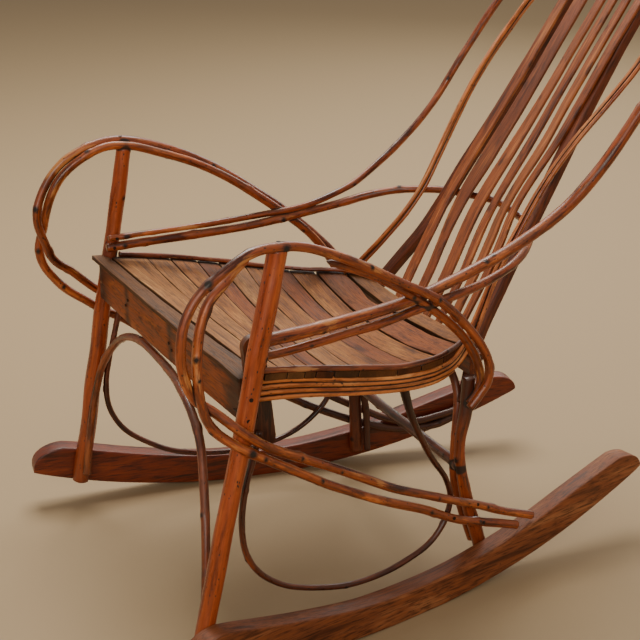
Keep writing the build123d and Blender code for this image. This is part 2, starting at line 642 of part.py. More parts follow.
frame_nails = [
    # front posts into the ends of the rail
    ((289.2, -287, 398), (-1, 0, 0), 46, 5.5),
    ((290.4, -292, 370), (-1, 0, 0), 46, 5.5),
    ((-287.2, -272, 398), (1, 0, 0), 46, 5.5),
    ((-288.0, -277, 370), (1, 0, 0), 46, 5.5),
    # post feet into the rockers
    ((277.7, -368, 60), (1, 0, 0), 34, 5.5),
    ((276.4, -360, 86), (1, 0, 0), 34, 5.5),
    ((-272.0, -331, 62), (-1, 0, 0), 34, 5.5),
    ((-271.5, -328, 80), (-1, 0, 0), 34, 5.5),
    # rail to the arch behind it
    ((-151, -291, 381), (0, 1, 0), 22, 4.5),
    ((-141, -291, 392), (0, 1, 0), 22, 4.5),
    ((18, -291, 380), (0, 1, 0), 22, 4.5),
    ((28, -291, 373), (0, 1, 0), 22, 4.5),
    # far ends of the hoop and the stretcher into the post
    ((-245.6, -264, 453), (-1, 0, 0), 26, 5.0),
    ((-247.5, -268, 438), (-1, 0, 0), 26, 5.0),
    # arms down into the post tops
    ((275.5, -239, 598.2), (0, 0, -1), 40, 5.5),
    ((-276, -240, 604.8), (0, 0, -1), 40, 5.5),
    # arm loop into the post and the rear leg
    ((305.9, -292, 350), (-1, 0, 0), 34, 5.0),
    ((305.0, -290, 328), (-1, 0, 0), 34, 5.0),
    ((239.1, 58.5, 147), (-1, 0, 0), 26, 5.0),
    ((232.0, 94.5, 130.5), (-1, 0, 0), 26, 5.0),
    ((240.3, 50, 123), (-1, 0, 0), 26, 5.0),
    ((235.4, 103.5, 100.5), (-1, 0, 0), 34, 5.0),
    # rear feet into the rockers
    ((191.6, 122, 42), (1, 0, 0), 30, 5.0),
    ((-191.0, 127, 46), (-1, 0, 0), 30, 5.0),
]
finished["frame_nails"] = nail_group(frame_nails, [n for n in finished if not n.startswith(("seat_slat", "back_slat", "seat_nails"))])

square_back = Vector(0, 1, -BACK_SLOPE).normalized()
back_nails = []
for stations in back_slats:
    # The foot of each slat is nailed from behind, its top from the front.
    x, z = stations[0][0] * 0.9 + stations[1][0] * 0.1, 330
    back_nails.append(((x, stile_y(z) - (STILE_T / 2 - 0.2) / square_back.Y, z), (0, -1, BACK_SLOPE), 11, 4.0))
    x, z = stations[-1][0], stations[-1][1] - 6
    back_nails.append(((x, stile_y(z) - (STILE_T / 2 + BACK_SLAT_T + 0.6) / square_back.Y, z), (0, 1, -BACK_SLOPE), 15, 4.0))
finished["back_nails"] = nail_group(back_nails, [n for n in finished if n.startswith(("back_slat", "back_hoop", "rear_seat"))])

# -------------------------------------------------------------------- write
low, high, moment, weight = [1e9] * 3, [-1e9] * 3, [0.0] * 3, 0.0
for name, piece in finished.items():
    shape = piece.part if name.endswith("nails") else keep_largest(piece)
    shape.label = name
    export_step(shape, f"parts/{name}.step")
    box = shape.bounding_box()
    centre = shape.center(CenterOf.MASS)
    heft = shape.volume * (7.85 if name.endswith("nails") else 0.65)
    weight += heft
    for i, k in enumerate(("X", "Y", "Z")):
        low[i] = min(low[i], getattr(box.min, k))
        high[i] = max(high[i], getattr(box.max, k))
        moment[i] += getattr(centre, k) * heft

print(len(finished), "nodes, from", [round(v, 2) for v in low], "to", [round(v, 2) for v in high])
print("footprint middle", round((low[0] + high[0]) / 2, 2), round((low[1] + high[1]) / 2, 2))
print("centre of mass", [round(m / weight, 1) for m in moment], "running edge flat from", (ROCKER_FLAT_Y - WORN_FRONT) / STRETCH - DATUM_Y, "to", (ROCKER_FLAT_Y + WORN_REAR) / STRETCH - DATUM_Y)
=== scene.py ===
import math

import bpy
import bmesh
import numpy as np
from mathutils import Matrix, Vector


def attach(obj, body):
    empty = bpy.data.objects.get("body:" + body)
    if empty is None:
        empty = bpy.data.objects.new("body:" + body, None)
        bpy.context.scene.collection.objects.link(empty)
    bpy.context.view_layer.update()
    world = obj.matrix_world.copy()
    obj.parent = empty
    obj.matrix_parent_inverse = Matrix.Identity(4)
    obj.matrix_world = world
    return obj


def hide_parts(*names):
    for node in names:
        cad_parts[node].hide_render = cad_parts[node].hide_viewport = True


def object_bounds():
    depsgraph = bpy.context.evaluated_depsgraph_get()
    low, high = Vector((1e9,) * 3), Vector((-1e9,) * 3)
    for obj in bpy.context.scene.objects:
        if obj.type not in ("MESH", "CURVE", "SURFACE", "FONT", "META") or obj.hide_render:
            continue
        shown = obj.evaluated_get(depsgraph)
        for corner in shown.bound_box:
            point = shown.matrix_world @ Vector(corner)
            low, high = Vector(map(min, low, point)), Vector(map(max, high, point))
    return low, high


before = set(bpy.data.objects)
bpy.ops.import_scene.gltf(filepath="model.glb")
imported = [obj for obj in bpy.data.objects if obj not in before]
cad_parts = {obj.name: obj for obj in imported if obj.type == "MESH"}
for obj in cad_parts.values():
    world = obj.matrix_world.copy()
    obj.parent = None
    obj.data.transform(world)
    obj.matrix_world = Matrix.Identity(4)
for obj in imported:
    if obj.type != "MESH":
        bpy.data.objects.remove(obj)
cad_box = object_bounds()
BOX_LOW, BOX_HIGH = np.array(cad_box[0], float), np.array(cad_box[1], float)

# Millimetres in the tables, metres in Blender. The tables are written about
# the same datum line as the CAD's, DATUM_Y in front of the origin.
DATUM_Y = 92.15
MM = 0.001
VIEW = np.array([2023.0, -1069.0, 1243.0])


def rng(seed):
    return np.random.default_rng(seed)


def to_frame(p):
    p = np.array(p, float)
    p = p.reshape(-1, 3) * MM
    p[:, 1] -= DATUM_Y * MM
    return p


# ------------------------------------------------------------------ tables
post_left_ends = [(269.8, -237.4, 586.5), (290.5, -371, 46)]
post_right_ends = [(-269.8, -236.7, 588), (-285, -335, 42)]
leg_left_run = [(203, 91, 322), (204, 86, 272), (204, 78.5, 226), (203.5, 80, 188), (203, 91, 138), (200, 112, 70), (202, 124, 30)]
leg_right_run = [(-199, 119, 335), (-200, 124, 240), (-199, 124, 110), (-201.5, 127, 28)]

arm_outer_left_run = [
    (226, 80, 285), (226, 95, 302), (227, 107, 322), (226, 108, 348), (226, 94, 380), (227, 63, 421),
    (234, 16, 464), (244, -40, 497), (253, -96, 531), (262, -150, 561), (271, -200, 583), (277, -242, 592),
    (280, -278, 591), (284, -318, 573), (285, -354, 546), (286, -373, 514), (287, -379, 482), (286, -378, 457),
    (283, -370, 427), (281, -359, 408), (281, -349, 399), (286, -337, 389), (298, -314, 369), (300, -298, 356),
    (293, -267, 331), (280, -215, 298), (267, -140, 253), (251, -48, 198), (235, 45, 153), (223, 104, 124),
    (221, 148, 102), (222, 196, 84),
]
arm_inner_left_run = [
    (271, -279, 577), (273, -296, 568), (276, -312, 556), (280, -336, 537), (284, -351, 505), (287, -358, 470),
    (290, -360, 440), (292, -357, 411), (292, -349, 384), (293, -336, 364), (298, -314, 345), (300, -300, 335),
    (294, -267, 312), (284, -230, 286), (270, -165, 240), (256, -85, 194), (243, -8, 154), (232, 60, 116),
    (228, 112, 96.5), (228, 166, 78),
]
arm_rear_left_run = [
    (213, 86, 286), (213, 101, 304), (213, 105, 324), (213, 97, 352), (213.5, 76, 387), (217, 46, 420),
    (223, 9, 451), (230, -32, 482), (239, -82, 514), (250, -158, 551),
]
arm_outer_right_run = [
    (-226, 80, 285), (-226, 95, 302), (-227, 110, 322), (-226, 112, 348), (-226, 97, 380), (-227, 66, 412),
    (-234, 14, 463), (-244, -40, 504), (-253, -96, 542.5), (-262, -148, 570), (-271, -198.5, 589), (-277, -240, 598),
    (-280, -275, 596), (-282, -318, 580.6), (-283, -347, 558.6), (-283, -366, 531), (-281, -375.5, 504.6), (-280, -376, 482),
    (-279, -369, 455), (-283, -360, 430), (-288, -348, 414), (-293, -328, 398), (-298, -303, 375), (-299, -282, 357),
    (-295, -250, 334), (-282, -195, 295), (-267, -130, 252), (-251, -48, 198), (-233, 45, 152), (-210, 132, 102),
    (-187, 214, 67), (-175, 275, 70), (-165.5, 326, 85),
]
arm_inner_right_run = [
    (-213, 86, 286), (-213, 101, 304), (-213, 106, 324), (-213, 98, 352), (-213.5, 74, 392), (-217, 45, 427),
    (-223, 6, 461), (-230, -33, 492), (-239, -82, 528), (-248, -134, 555.5), (-256, -181.5, 575.3), (-264, -231.7, 590.6),
    (-267, -269.3, 592.6), (-272, -311.5, 574), (-274.5, -338.5, 552), (-277, -354.3, 526.5), (-286.5, -361.8, 495.8), (-292, -365.8, 470.9),
    (-295.5, -370, 455), (-297, -373, 438), (-298, -368, 413), (-300, -353, 389), (-300, -330, 363), (-300, -301, 341),
    (-299, -277, 323), (-294, -240, 300), (-284, -195, 264), (-270, -140, 225), (-256, -80, 190), (-242, -8, 150),
    (-225, 65, 108), (-207, 133, 76), (-188.5, 205, 54), (-177, 265, 54), (-168, 315, 72),
]
stretcher_run = [
    (-255, -278, 438), (-250, -226, 439), (-243, -170, 441), (-236, -115, 443), (-229, -60, 446), (-221, -5, 452),
    (-214, 50, 459), (-207, 100, 467), (-194, 146, 477), (-174, 190, 485), (-142, 229, 489), (-100, 258, 491),
    (-50, 273, 492), (0, 277, 492), (50, 271, 491), (100, 254, 489), (143, 226, 486), (178, 190, 480),
    (199, 148, 471), (210, 100, 462), (217, 48, 456), (223, -10, 448), (230, -69, 442), (237, -130, 439),
    (246, -190, 438), (253, -262, 438),
]
hoop_run = [
    (-255, -274, 453), (-251, -225, 453), (-243, -162, 455), (-234, -98, 458), (-225, -33, 463), (-216, 33, 469),
    (-213, 84, 480), (-215, 132, 495), (-220, 180, 522), (-226, 238, 563), (-230, 286, 608), (-233, 345, 683),
    (-233, 398, 750), (-229, 452, 818), (-214, 501, 880), (-183, 538, 930), (-134, 562, 964), (-70, 577, 985),
    (0, 581, 991), (70, 578, 986), (134, 564, 966), (183, 540, 932), (214, 502, 882), (230, 454, 820),
    (234, 400, 752), (233, 347, 690), (230, 288, 616), (226, 238, 566), (221, 190, 533), (216, 142, 508),
    (212, 97, 490), (213, 48, 475), (220, -2, 466), (230, -67, 461), (239, -133, 459), (248, -198, 459),
    (253, -262, 459),
]
rim_left_run = [
    (263, -259, 423.2), (259, -218, 416.4), (256, -173, 407.3), (252, -127, 396.8), (247, -79, 386.6), (239, -40, 378),
    (225, 0, 370), (208, 38, 365), (189, 73, 364.7), (170, 100, 365),
]
rim_right_run = [
    (-264, -256, 421.8), (-259, -215, 415.6), (-256, -173, 407.3), (-252, -127, 396.8), (-246, -79, 386.6), (-236, -35, 377),
    (-221, 6, 369.5), (-205, 42, 365), (-186, 76, 364.7), (-160, 103, 365), (-122, 121, 366),
]
front_arch_run = [
    (-261, -331, 62), (-262, -325, 110), (-263, -316, 160), (-261, -307, 205), (-252, -298, 247), (-228, -290, 284),
    (-188, -285, 314), (-135, -284, 333), (-60, -286, 340), (20, -292, 341), (80, -299, 337), (130, -304, 321),
    (170, -310, 292), (203, -321, 250), (232, -332, 205), (252, -342, 152), (264, -352, 100), (267, -360, 62),
]
rear_arch_run = [
    (-182, 138, 34), (-183, 136, 95), (-184, 128, 160), (-182, 118, 220), (-174, 108, 268), (-150, 101, 304),
    (-108, 97, 322), (-50, 95, 329), (0, 94, 330), (50, 92, 329), (108, 92, 325), (149, 94, 311),
    (172, 93, 281), (181, 87, 250), (184, 82, 215), (184, 82, 160), (182, 98, 100), (179, 118, 44),
]
side_bow_left_run = [
    (257, -262, 336), (258, -272, 300), (259, -286, 255), (260, -293, 212), (260, -288, 168), (258, -268, 130),
    (253, -235, 100), (247, -190, 78), (240, -130, 62), (232, -70, 58), (224, -20, 64), (217, 20, 77),
    (213, 48, 104), (211, 60, 138), (210, 52, 172), (211, 28, 210), (214, 6, 252), (219, -11, 290), (223, -24, 326),
    (226, -30, 346),
]
side_bow_right_run = [
    (-257, -262, 336), (-258, -272, 300), (-259, -284, 255), (-260, -291, 212), (-260, -287, 168), (-258, -267, 130),
    (-253, -235, 103), (-247, -190, 79), (-240, -130, 64), (-233, -70, 60), (-225, -15, 66), (-220, 35, 86),
    (-216, 76, 121), (-213, 89, 158), (-212, 80, 196), (-214, 55, 235), (-218, 25, 275), (-223, 2, 315),
]
side_twig_run = [
    (258, -287, 408.5), (256, -235, 403), (254, -190, 394.9), (251, -142, 383.8), (247, -94, 373.2), (239, -48, 363.2),
    (226, -5, 354.6), (209, 36, 348.8), (191, 72, 349.5), (175, 101, 365), (161, 129, 396), (149, 153, 427),
    (139, 178, 459), (134, 206, 498), (135, 235, 545), (140, 262, 587), (149, 296, 634), (159, 335, 680),
    (166, 376, 727), (166, 420, 782), (154, 464, 836), (128, 499, 880), (86, 524, 910), (40, 533, 923),
]
rung_ends = [(-199, 124, 149), (204, 80, 181)]
SLAT_TOPS = [(-303, 420), (-270.5, 419.3), (-264.6, 419.2), (-259, 418.8), (-235, 415.5), (-218, 412.4), (-190, 407.2),
             (-173, 403.6), (-142, 396.1), (-127, 392.7), (-94, 385.5), (-79, 382.5), (-48, 375.5), (-44, 374.7),
             (-5, 366.9), (36, 361.3), (75, 360.5), (99, 360.5), (130, 360.5)]
SEAT_HALF = [(-303, 290), (-275, 266), (-259, 264), (-218, 261), (-173, 258), (-127, 254), (-79, 249), (-44, 241),
             (-5, 227.5), (38, 210), (75, 189), (99, 172), (112, 156), (122, 138), (130, 120)]
TWIG_PITCH = 6.3
SLAT_T = 9.0
SLAT_GAP = 1.8
# The seams between the seat slats: y at the middle of the chair, how much it
# runs askew, and how wide it gapes.
SEAMS = [(-264.2, 0.0236, 4.5), (-218.0, -0.0153, 1.4), (-185.0, -0.0425, 1.4), (-154.8, -0.0975, 1.4), (-122.7, -0.1105, 1.8),
         (-82.9, -0.1190, 1.4), (-33.7, -0.0590, 1.6), (7.6, -0.0337, 1.8), (50.0, -0.0098, 2.6), (93.5, 0.0028, 5.0)]
SEAT_FRONT, SEAT_BACK = -294, 120.5
# How far the middle of the seat lies below its edges.
DISH = [(-262, 4), (-240, 8.5), (-218, 12.3), (-185, 13), (-155, 13.5), (-123, 15.5), (-83, 19.5), (-34, 24.5), (8, 27), (50, 25), (93, 14.5), (121, 8)]
BACK_SLOPE = 0.684
STILE_T = 15.0
BACK_SLAT_T = 5.0


# ------------------------------------------------------------- mesh making
def catmull(points, per=14):
    """A smooth line through the points."""
    p = np.asarray(points, float)
    if len(p) == 2:
        t = np.linspace(0, 1, 40)[:, None]
        return p[0] * (1 - t) + p[1] * t
    ext = np.vstack([2 * p[0] - p[1], p, 2 * p[-1] - p[-2]])
    out = []
    for i in range(1, len(ext) - 2):
        p0, p1, p2, p3 = ext[i - 1:i + 3]
        d1 = max(np.linalg.norm(p1 - p0), 1e-6) ** 0.5
        d2 = max(np.linalg.norm(p2 - p1), 1e-6) ** 0.5
        d3 = max(np.linalg.norm(p3 - p2), 1e-6) ** 0.5
        t0, t1, t2, t3 = 0, d1, d1 + d2, d1 + d2 + d3
        for t in np.linspace(t1, t2, per, endpoint=False):
            a1 = (t1 - t) / (t1 - t0) * p0 + (t - t0) / (t1 - t0) * p1
            a2 = (t2 - t) / (t2 - t1) * p1 + (t - t1) / (t2 - t1) * p2
            a3 = (t3 - t) / (t3 - t2) * p2 + (t - t2) / (t3 - t2) * p3
            b1 = (t2 - t) / (t2 - t0) * a1 + (t - t0) / (t2 - t0) * a2
            b2 = (t3 - t) / (t3 - t1) * a2 + (t - t1) / (t3 - t1) * a3
            out.append((t2 - t) / (t2 - t1) * b1 + (t - t1) / (t2 - t1) * b2)
    out.append(p[-1])
    return np.array(out)


def resample(line, step):
    seg = np.linalg.norm(np.diff(line, axis=0), axis=1)
    s = np.concatenate([[0], np.cumsum(seg)])
    n = max(int(round(s[-1] / step)), 3)
    t = np.linspace(0, s[-1], n + 1)
    return np.stack([np.interp(t, s, line[:, k]) for k in range(3)], 1), t


def ripple(s, g, wavelength, amp):
    """Smooth noise along a length, the same each run."""
    n = max(int(s[-1] / wavelength) + 4, 5)
    knots = g.normal(0, 1, n)
    x = s / wavelength + 1
    i = np.clip(x.astype(int), 0, n - 3)
    f = x - i
    f = f * f * (3 - 2 * f)
    return amp * (knots[i] * (1 - f) + knots[i + 1] * f)


def frames_along(line):
    t = np.gradient(line, axis=0)
    t /= np.linalg.norm(t, axis=1)[:, None]
    up = np.array([0, 0, 1.0])
    if abs(t[0] @ up) > 0.9:
        up = np.array([1.0, 0, 0])
    n = np.zeros_like(t)
    v = up - t[0] * (up @ t[0])
    n[0] = v / np.linalg.norm(v)
    for i in range(1, len(t)):
        v = n[i - 1] - t[i] * (n[i - 1] @ t[i])
        n[i] = v / np.linalg.norm(v)
    return t, n, np.cross(t, n)


def mesh_from(name, verts, faces, attrs):
    # Nothing reaches past the CAD's own box.
    verts = np.clip(np.asarray(verts, float), BOX_LOW, BOX_HIGH)
    me = bpy.data.meshes.new(name)
    me.from_pydata([tuple(v) for v in verts], [], faces)
    for key, values in attrs.items():
        values = np.asarray(values, np.float32)
        if values.ndim == 2:
            a = me.attributes.new(key, "FLOAT_VECTOR", "POINT")
            a.data.foreach_set("vector", values.ravel())
        else:
            a = me.attributes.new(key, "FLOAT", "POINT")
            a.data.foreach_set("value", values.ravel())
    for poly in me.polygons:
        poly.use_smooth = True
    me.validate()
    me.update()
    return me


def rings_to_mesh(rings, attrs, cap=True):
    """Faces and points for a closed loft: rings[n][m] points."""
    n, m, _ = rings.shape
    verts = rings.reshape(-1, 3)
    faces = []
    for i in range(n - 1):
        a, b = i * m, (i + 1) * m
        for j in range(m):
            k = (j + 1) % m
            faces.append((a + j, a + k, b + k, b + j))
    out = {key: val.reshape(n * m, -1) if val.ndim == 3 else val.reshape(-1) for key, val in attrs.items()}
    if cap:
        c0, c1 = rings[0].mean(0), rings[-1].mean(0)
        verts = np.vstack([verts, c0, c1])
        for key, val in out.items():
            first = val[:m].mean(0, keepdims=True)
            last = val[(n - 1) * m:].mean(0, keepdims=True)
            out[key] = np.concatenate([val, first, last])
        for j in range(m):
            k = (j + 1) % m
            faces.append((n * m, k, j))
            faces.append((n * m + 1, (n - 1) * m + j, (n - 1) * m + k))
    return verts, faces, out


def put(name, me, node, mats):
    ob = bpy.data.objects.new(name, me)
    bpy.context.scene.collection.objects.link(ob)
    for mat in mats if isinstance(mats, (list, tuple)) else [mats]:
        me.materials.append(mat)
    if node:
        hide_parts(*(node if isinstance(node, (list, tuple)) else [node]))
    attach(ob, "root")
    return ob


def twig_arrays(points, r0, r1, seed, knots=9.0, wobble=0.5, step=3.0, sides=14, swell=0.05, tip=(1.0, 1.0),
                knot_size=1.0, marks=(), radii=None, dark=(), pale=(), point=(0, 0)):
    """Rings of a natural twig along the points, which are millimetres. knots
    is how many it has per metre. marks are extra knots as (part of length,
    turn, size), where turn is the angle away from the seen side. radii is a table (part of length, radius) in place of
    r0 and r1, dark is a table (part of length, darkening), partly stain and partly painted shadow, pale are worn places
    as (part of length, half length in mm, strength), and point is how long a whittled
    taper each end has, in millimetres."""
    g = rng(seed)
    line, s = resample(catmull(points), step)
    total = s[-1]
    t, n, b = frames_along(line)
    fade = np.clip(np.minimum(s, total - s) / 40.0, 0, 1)
    line = line + n * (ripple(s, g, 55, wobble) * fade)[:, None] + b * (ripple(s, g, 65, wobble) * fade)[:, None]
    t, n, b = frames_along(line)
    r = r0 + (r1 - r0) * (s / total)
    if radii:
        r = np.interp(s / total, [k[0] for k in radii], [k[1] for k in radii])
        r0 = float(r.mean())
    r = r * (1 + ripple(s, g, 70, swell * 0.6) + ripple(s, g, 18, swell * 0.25))
    ang = np.linspace(0, 2 * np.pi, sides, endpoint=False)
    phase = ripple(s, g, 160, 1.2) + g.uniform(0, 6)
    rr = r[:, None] * (1 + 0.035 * np.cos(2 * ang[None, :] + phase[:, None]) + 0.015 * np.cos(3 * ang[None, :] - phase[:, None]))
    for length, gap in ((point[0], s), (point[1], total - s)):
        if length:
            rr = rr * (0.22 + 0.78 * np.sqrt(np.clip(gap / length, 0, 1)))[:, None]
    knot = np.zeros_like(rr)
    count = int(total / 1000 * knots)
    spots = []
    if count:
        at_s = (np.arange(count) + g.uniform(0.15, 0.85, count)) * total / count
        side = g.uniform(0, 2 * np.pi)
        for k in range(count):
            side += np.pi * 0.8 + g.uniform(-0.6, 0.6)
            spots.append((at_s[k], side % (2 * np.pi), g.uniform(0.55, 1.25) * knot_size))
    for part, turn, size in marks:
        k = int(part * (len(s) - 1))
        toward = VIEW - line[k]
        spots.append((s[k], math.atan2(toward @ b[k], toward @ n[k]) + turn, size))
    for s0, a0, size in spots:
        da = np.angle(np.exp(1j * (ang - a0)))[None, :]
        ds = (s - s0)[:, None]
        rad = r0 * 0.62 * size
        g1 = np.exp(-(ds / (rad * 1.35)) ** 2 - (da * r0 / rad) ** 2)
        ring = np.exp(-(ds / (r0 * 1.1)) ** 2)
        pit = np.exp(-(ds / (rad * 0.6)) ** 2 - (da * r0 / (rad * 0.55)) ** 2)
        rr = rr + r0 * (0.26 * size * g1 + 0.05 * size * ring - 0.13 * size * pit)
        knot = np.maximum(knot, np.exp(-(ds / (rad * 0.95)) ** 2 - (da * r0 / (rad * 0.8)) ** 2))
    cap_rings, cap_s, cap_knot, cap_cut = [], [], [], []
    rings = line[:, None, :] + n[:, None, :] * (rr * np.cos(ang))[:, :, None] + b[:, None, :] * (rr * np.sin(ang))[:, :, None]
    co = np.stack([np.repeat(s[:, None], sides, 1), rr * np.cos(ang), rr * np.sin(ang)], 2)
    cut = np.zeros_like(rr)

    def end_rings(i, way, scale):
        extra, ce = [], []
        base = rr[i]
        for back, shrink in ((0.0, 0.94), (0.10, 0.84), (0.16, 0.5)):
            centre = line[i] + t[i] * way * back * r0 * scale
            extra.append(centre + n[i] * (base * shrink * np.cos(ang))[:, None] + b[i] * (base * shrink * np.sin(ang))[:, None])
            ce.append(np.stack([np.full(sides, s[i] + way * back * r0), base * shrink * np.cos(ang), base * shrink * np.sin(ang)], 1))
        return np.array(extra), np.array(ce)

    e0, c0 = end_rings(0, -1, tip[0])
    e1, c1 = end_rings(-1, 1, tip[1])
    rings = np.concatenate([e0[::-1], rings, e1])
    co = np.concatenate([c0[::-1], co, c1])
    knot = np.concatenate([np.repeat(knot[:1], 3, 0), knot, np.repeat(knot[-1:], 3, 0)])
    ones = np.ones((3, sides))
    cut = np.concatenate([ones, cut, ones])
    cut[2] = 0.5
    cut[-3] = 0.5
    shift = g.uniform(0, 40)
    co = co * MM
    co[:, :, 0] += shift
    stain = np.interp(s / total, [k[0] for k in dark], [k[1] for k in dark]) if dark else np.zeros(len(s))
    worn = np.zeros(len(s))
    for part, half, strength in pale:
        worn = np.maximum(worn, strength * np.exp(-((s - part * total) / half) ** 2))
    both = []
    for row in (stain, worn):
        row = np.concatenate([row[:1]] * 3 + [row] + [row[-1:]] * 3)
        both.append(np.repeat(row[:, None], sides, 1))
    return rings, {"tw": co, "knot": knot, "cut": cut, "stain": both[0], "pale": both[1]}


def merge(parts):
    """Several (rings, attrs) lofts as one set of points and faces."""
    vs, fs, at, base = [], [], {}, 0
    for rings, attrs in parts:
        v, f, a = rings_to_mesh(rings, attrs)
        vs.append(v)
        fs += [tuple(i + base for i in face) for face in f]
        for key, val in a.items():
            at.setdefault(key, []).append(val)
        base += len(v)
    return np.vstack(vs), fs, {k: np.concatenate(v) for k, v in at.items()}


LINES = []


def twig(name, node, slot, mat, points, r0, r1, seed, **kw):
    """Notes a twig. They are all made together, so that the painted shade in the
    crevices between neighbours can be worked out."""
    radii = kw.get("radii") or [(0, r0), (1, r1)]
    line, s = resample(catmull(points), 4.0)
    r = np.interp(s / s[-1], [k[0] for k in radii], [k[1] for k in radii])
    LINES.append((name, node, slot, mat, points, r0, r1, seed, kw, line, r))


def make_twigs():
    cloud = np.vstack([row[9] for row in LINES])
    radius = np.concatenate([row[10] for row in LINES])
    owner = np.concatenate([np.full(len(row[9]), i) for i, row in enumerate(LINES)])
    for i, (name, node, slot, mat, points, r0, r1, seed, kw, line, r) in enumerate(LINES):
        v, f, a = merge([twig_arrays(points, r0, r1, seed, **kw)])
        low, high = line.min(0) - 26, line.max(0) + 26
        pick = (owner != i) & (cloud > low).all(1) & (cloud < high).all(1)
        gap = np.full(len(v), 99.0)
        if pick.any():
            c, cr = cloud[pick], radius[pick]
            for k in range(0, len(v), 4000):
                d = np.linalg.norm(v[k:k + 4000, None, :] - c[None, :, :], axis=2) - cr[None, :]
                gap[k:k + 4000] = d.min(1)
        # Painted shade: the closer another twig lies, the darker the crevice.
        a["grime"] = np.clip(1 - (gap - 0.3) / 4.2, 0, 1) ** 1.5
        put(name, mesh_from(name, to_frame(v), f, a), node, mat)


def rounded(w, h, r, across=6, tall=2, seg=3):
    """A rounded rectangle as points (x, y), starting at the lower left."""
    pts = []
    corners = [(w / 2 - r, h / 2 - r, 0), (-w / 2 + r, h / 2 - r, 1), (-w / 2 + r, -h / 2 + r, 2), (w / 2 - r, -h / 2 + r, 3)]
    for i, (cx, cy, q) in enumerate(corners):
        for k in range(seg + 1):
            a = math.pi / 2 * q + math.pi / 2 * k / seg
            pts.append((cx + r * math.cos(a), cy + r * math.sin(a)))
        nx, ny, _ = corners[(i + 1) % 4]
        a = math.pi / 2 * (q + 1)
        sx, sy = cx + r * math.cos(a), cy + r * math.sin(a)
        ex, ey = nx + r * math.cos(a), ny + r * math.sin(a)
        inner = across if q in (0, 2) else tall
        for k in range(1, inner):
            f = k / inner
            pts.append((sx * (1 - f) + ex * f, sy * (1 - f) + ey * f))
    return np.array(pts)


def bar(stations, seed, r=1.2, across=6, tall=2, wave=0.25, edge=0.3, grain_axis=0):
    """A lofted bar. Each station is (centre, across vector, up vector, width,
    height); vectors are unit length and all lengths are millimetres."""
    g = rng(seed)
    centres = np.array([s[0] for s in stations], float)
    d = np.concatenate([[0], np.cumsum(np.linalg.norm(np.diff(centres, axis=0), axis=1))])
    rings, co = [], []
    top = ripple(d, g, 45, wave) if d[-1] > 60 else np.zeros(len(d))
    left = ripple(d, g, 60, edge) if d[-1] > 60 else np.zeros(len(d))
    right = ripple(d, g, 52, edge) if d[-1] > 60 else np.zeros(len(d))
    for i, (c, u, v, w, h) in enumerate(stations):
        sec = rounded(w, h, min(r, h * 0.45, w * 0.45), across, tall)
        x = sec[:, 0] + np.where(sec[:, 0] > 0, right[i], left[i]) * np.abs(sec[:, 0]) / (w / 2)
        y = sec[:, 1] + top[i] * 0.5
        rings.append(np.array(c) + np.outer(x, u) + np.outer(y, v))
        co.append(np.stack([np.full(len(sec), d[i]), sec[:, 0], sec[:, 1]], 1))
    rings, co = np.array(rings), np.array(co) * MM
    co[:, :, 0] += g.uniform(0, 40)
    n, m = rings.shape[:2]
    return rings, {"tw": co, "knot": np.zeros((n, m)), "cut": np.zeros((n, m)), "stain": np.zeros((n, m)), "grime": np.zeros((n, m))}


def with_ends(rings, attrs, ease=0.8):
    """Adds a small chamfer at both ends of a loft and marks the cut faces."""
    d0 = rings[0].mean(0) - rings[1].mean(0)
    d1 = rings[-1].mean(0) - rings[-2].mean(0)
    d0 /= np.linalg.norm(d0)
    d1 /= np.linalg.norm(d1)

    def shrink(ring, out):
        mid = ring.mean(0)
        span = np.linalg.norm(ring - mid, axis=1)
        f = np.clip(1 - ease / np.maximum(span, ease * 1.5), 0.2, 1)
        return mid + (ring - mid) * f[:, None] + out * ease

    rings2 = rings.copy()
    rings2[0] = rings[0] - d0 * ease
    rings2[-1] = rings[-1] - d1 * ease
    first = shrink(rings2[0], d0)
    last = shrink(rings2[-1], d1)
    inner0 = first.mean(0) + (first - first.mean(0)) * 0.97
    inner1 = last.mean(0) + (last - last.mean(0)) * 0.97
    rings3 = np.concatenate([[inner0, first], rings2, [last, inner1]])
    out = {}
    for key, val in attrs.items():
        out[key] = np.concatenate([val[:1], val[:1], val, val[-1:], val[-1:]])
    out["cut"][0] = 1
    out["cut"][-1] = 1
    out["cut"][1] = 0.6
    out["cut"][-2] = 0.6
    return rings3, out


def table(rows, y, col=1):
    rows = sorted(rows)
    return float(np.interp(y, [r[0] for r in rows], [r[col] for r in rows]))


def unit(v):
    v = np.asarray(v, float)
    return v / np.linalg.norm(v)


# --------------------------------------------------------------- materials
def srgb(r, g, b):
    out = []
    for c in (r, g, b):
        c /= 255.0
        out.append(c / 12.92 if c <= 0.04045 else ((c + 0.055) / 1.055) ** 2.4)
    return (*out, 1.0)


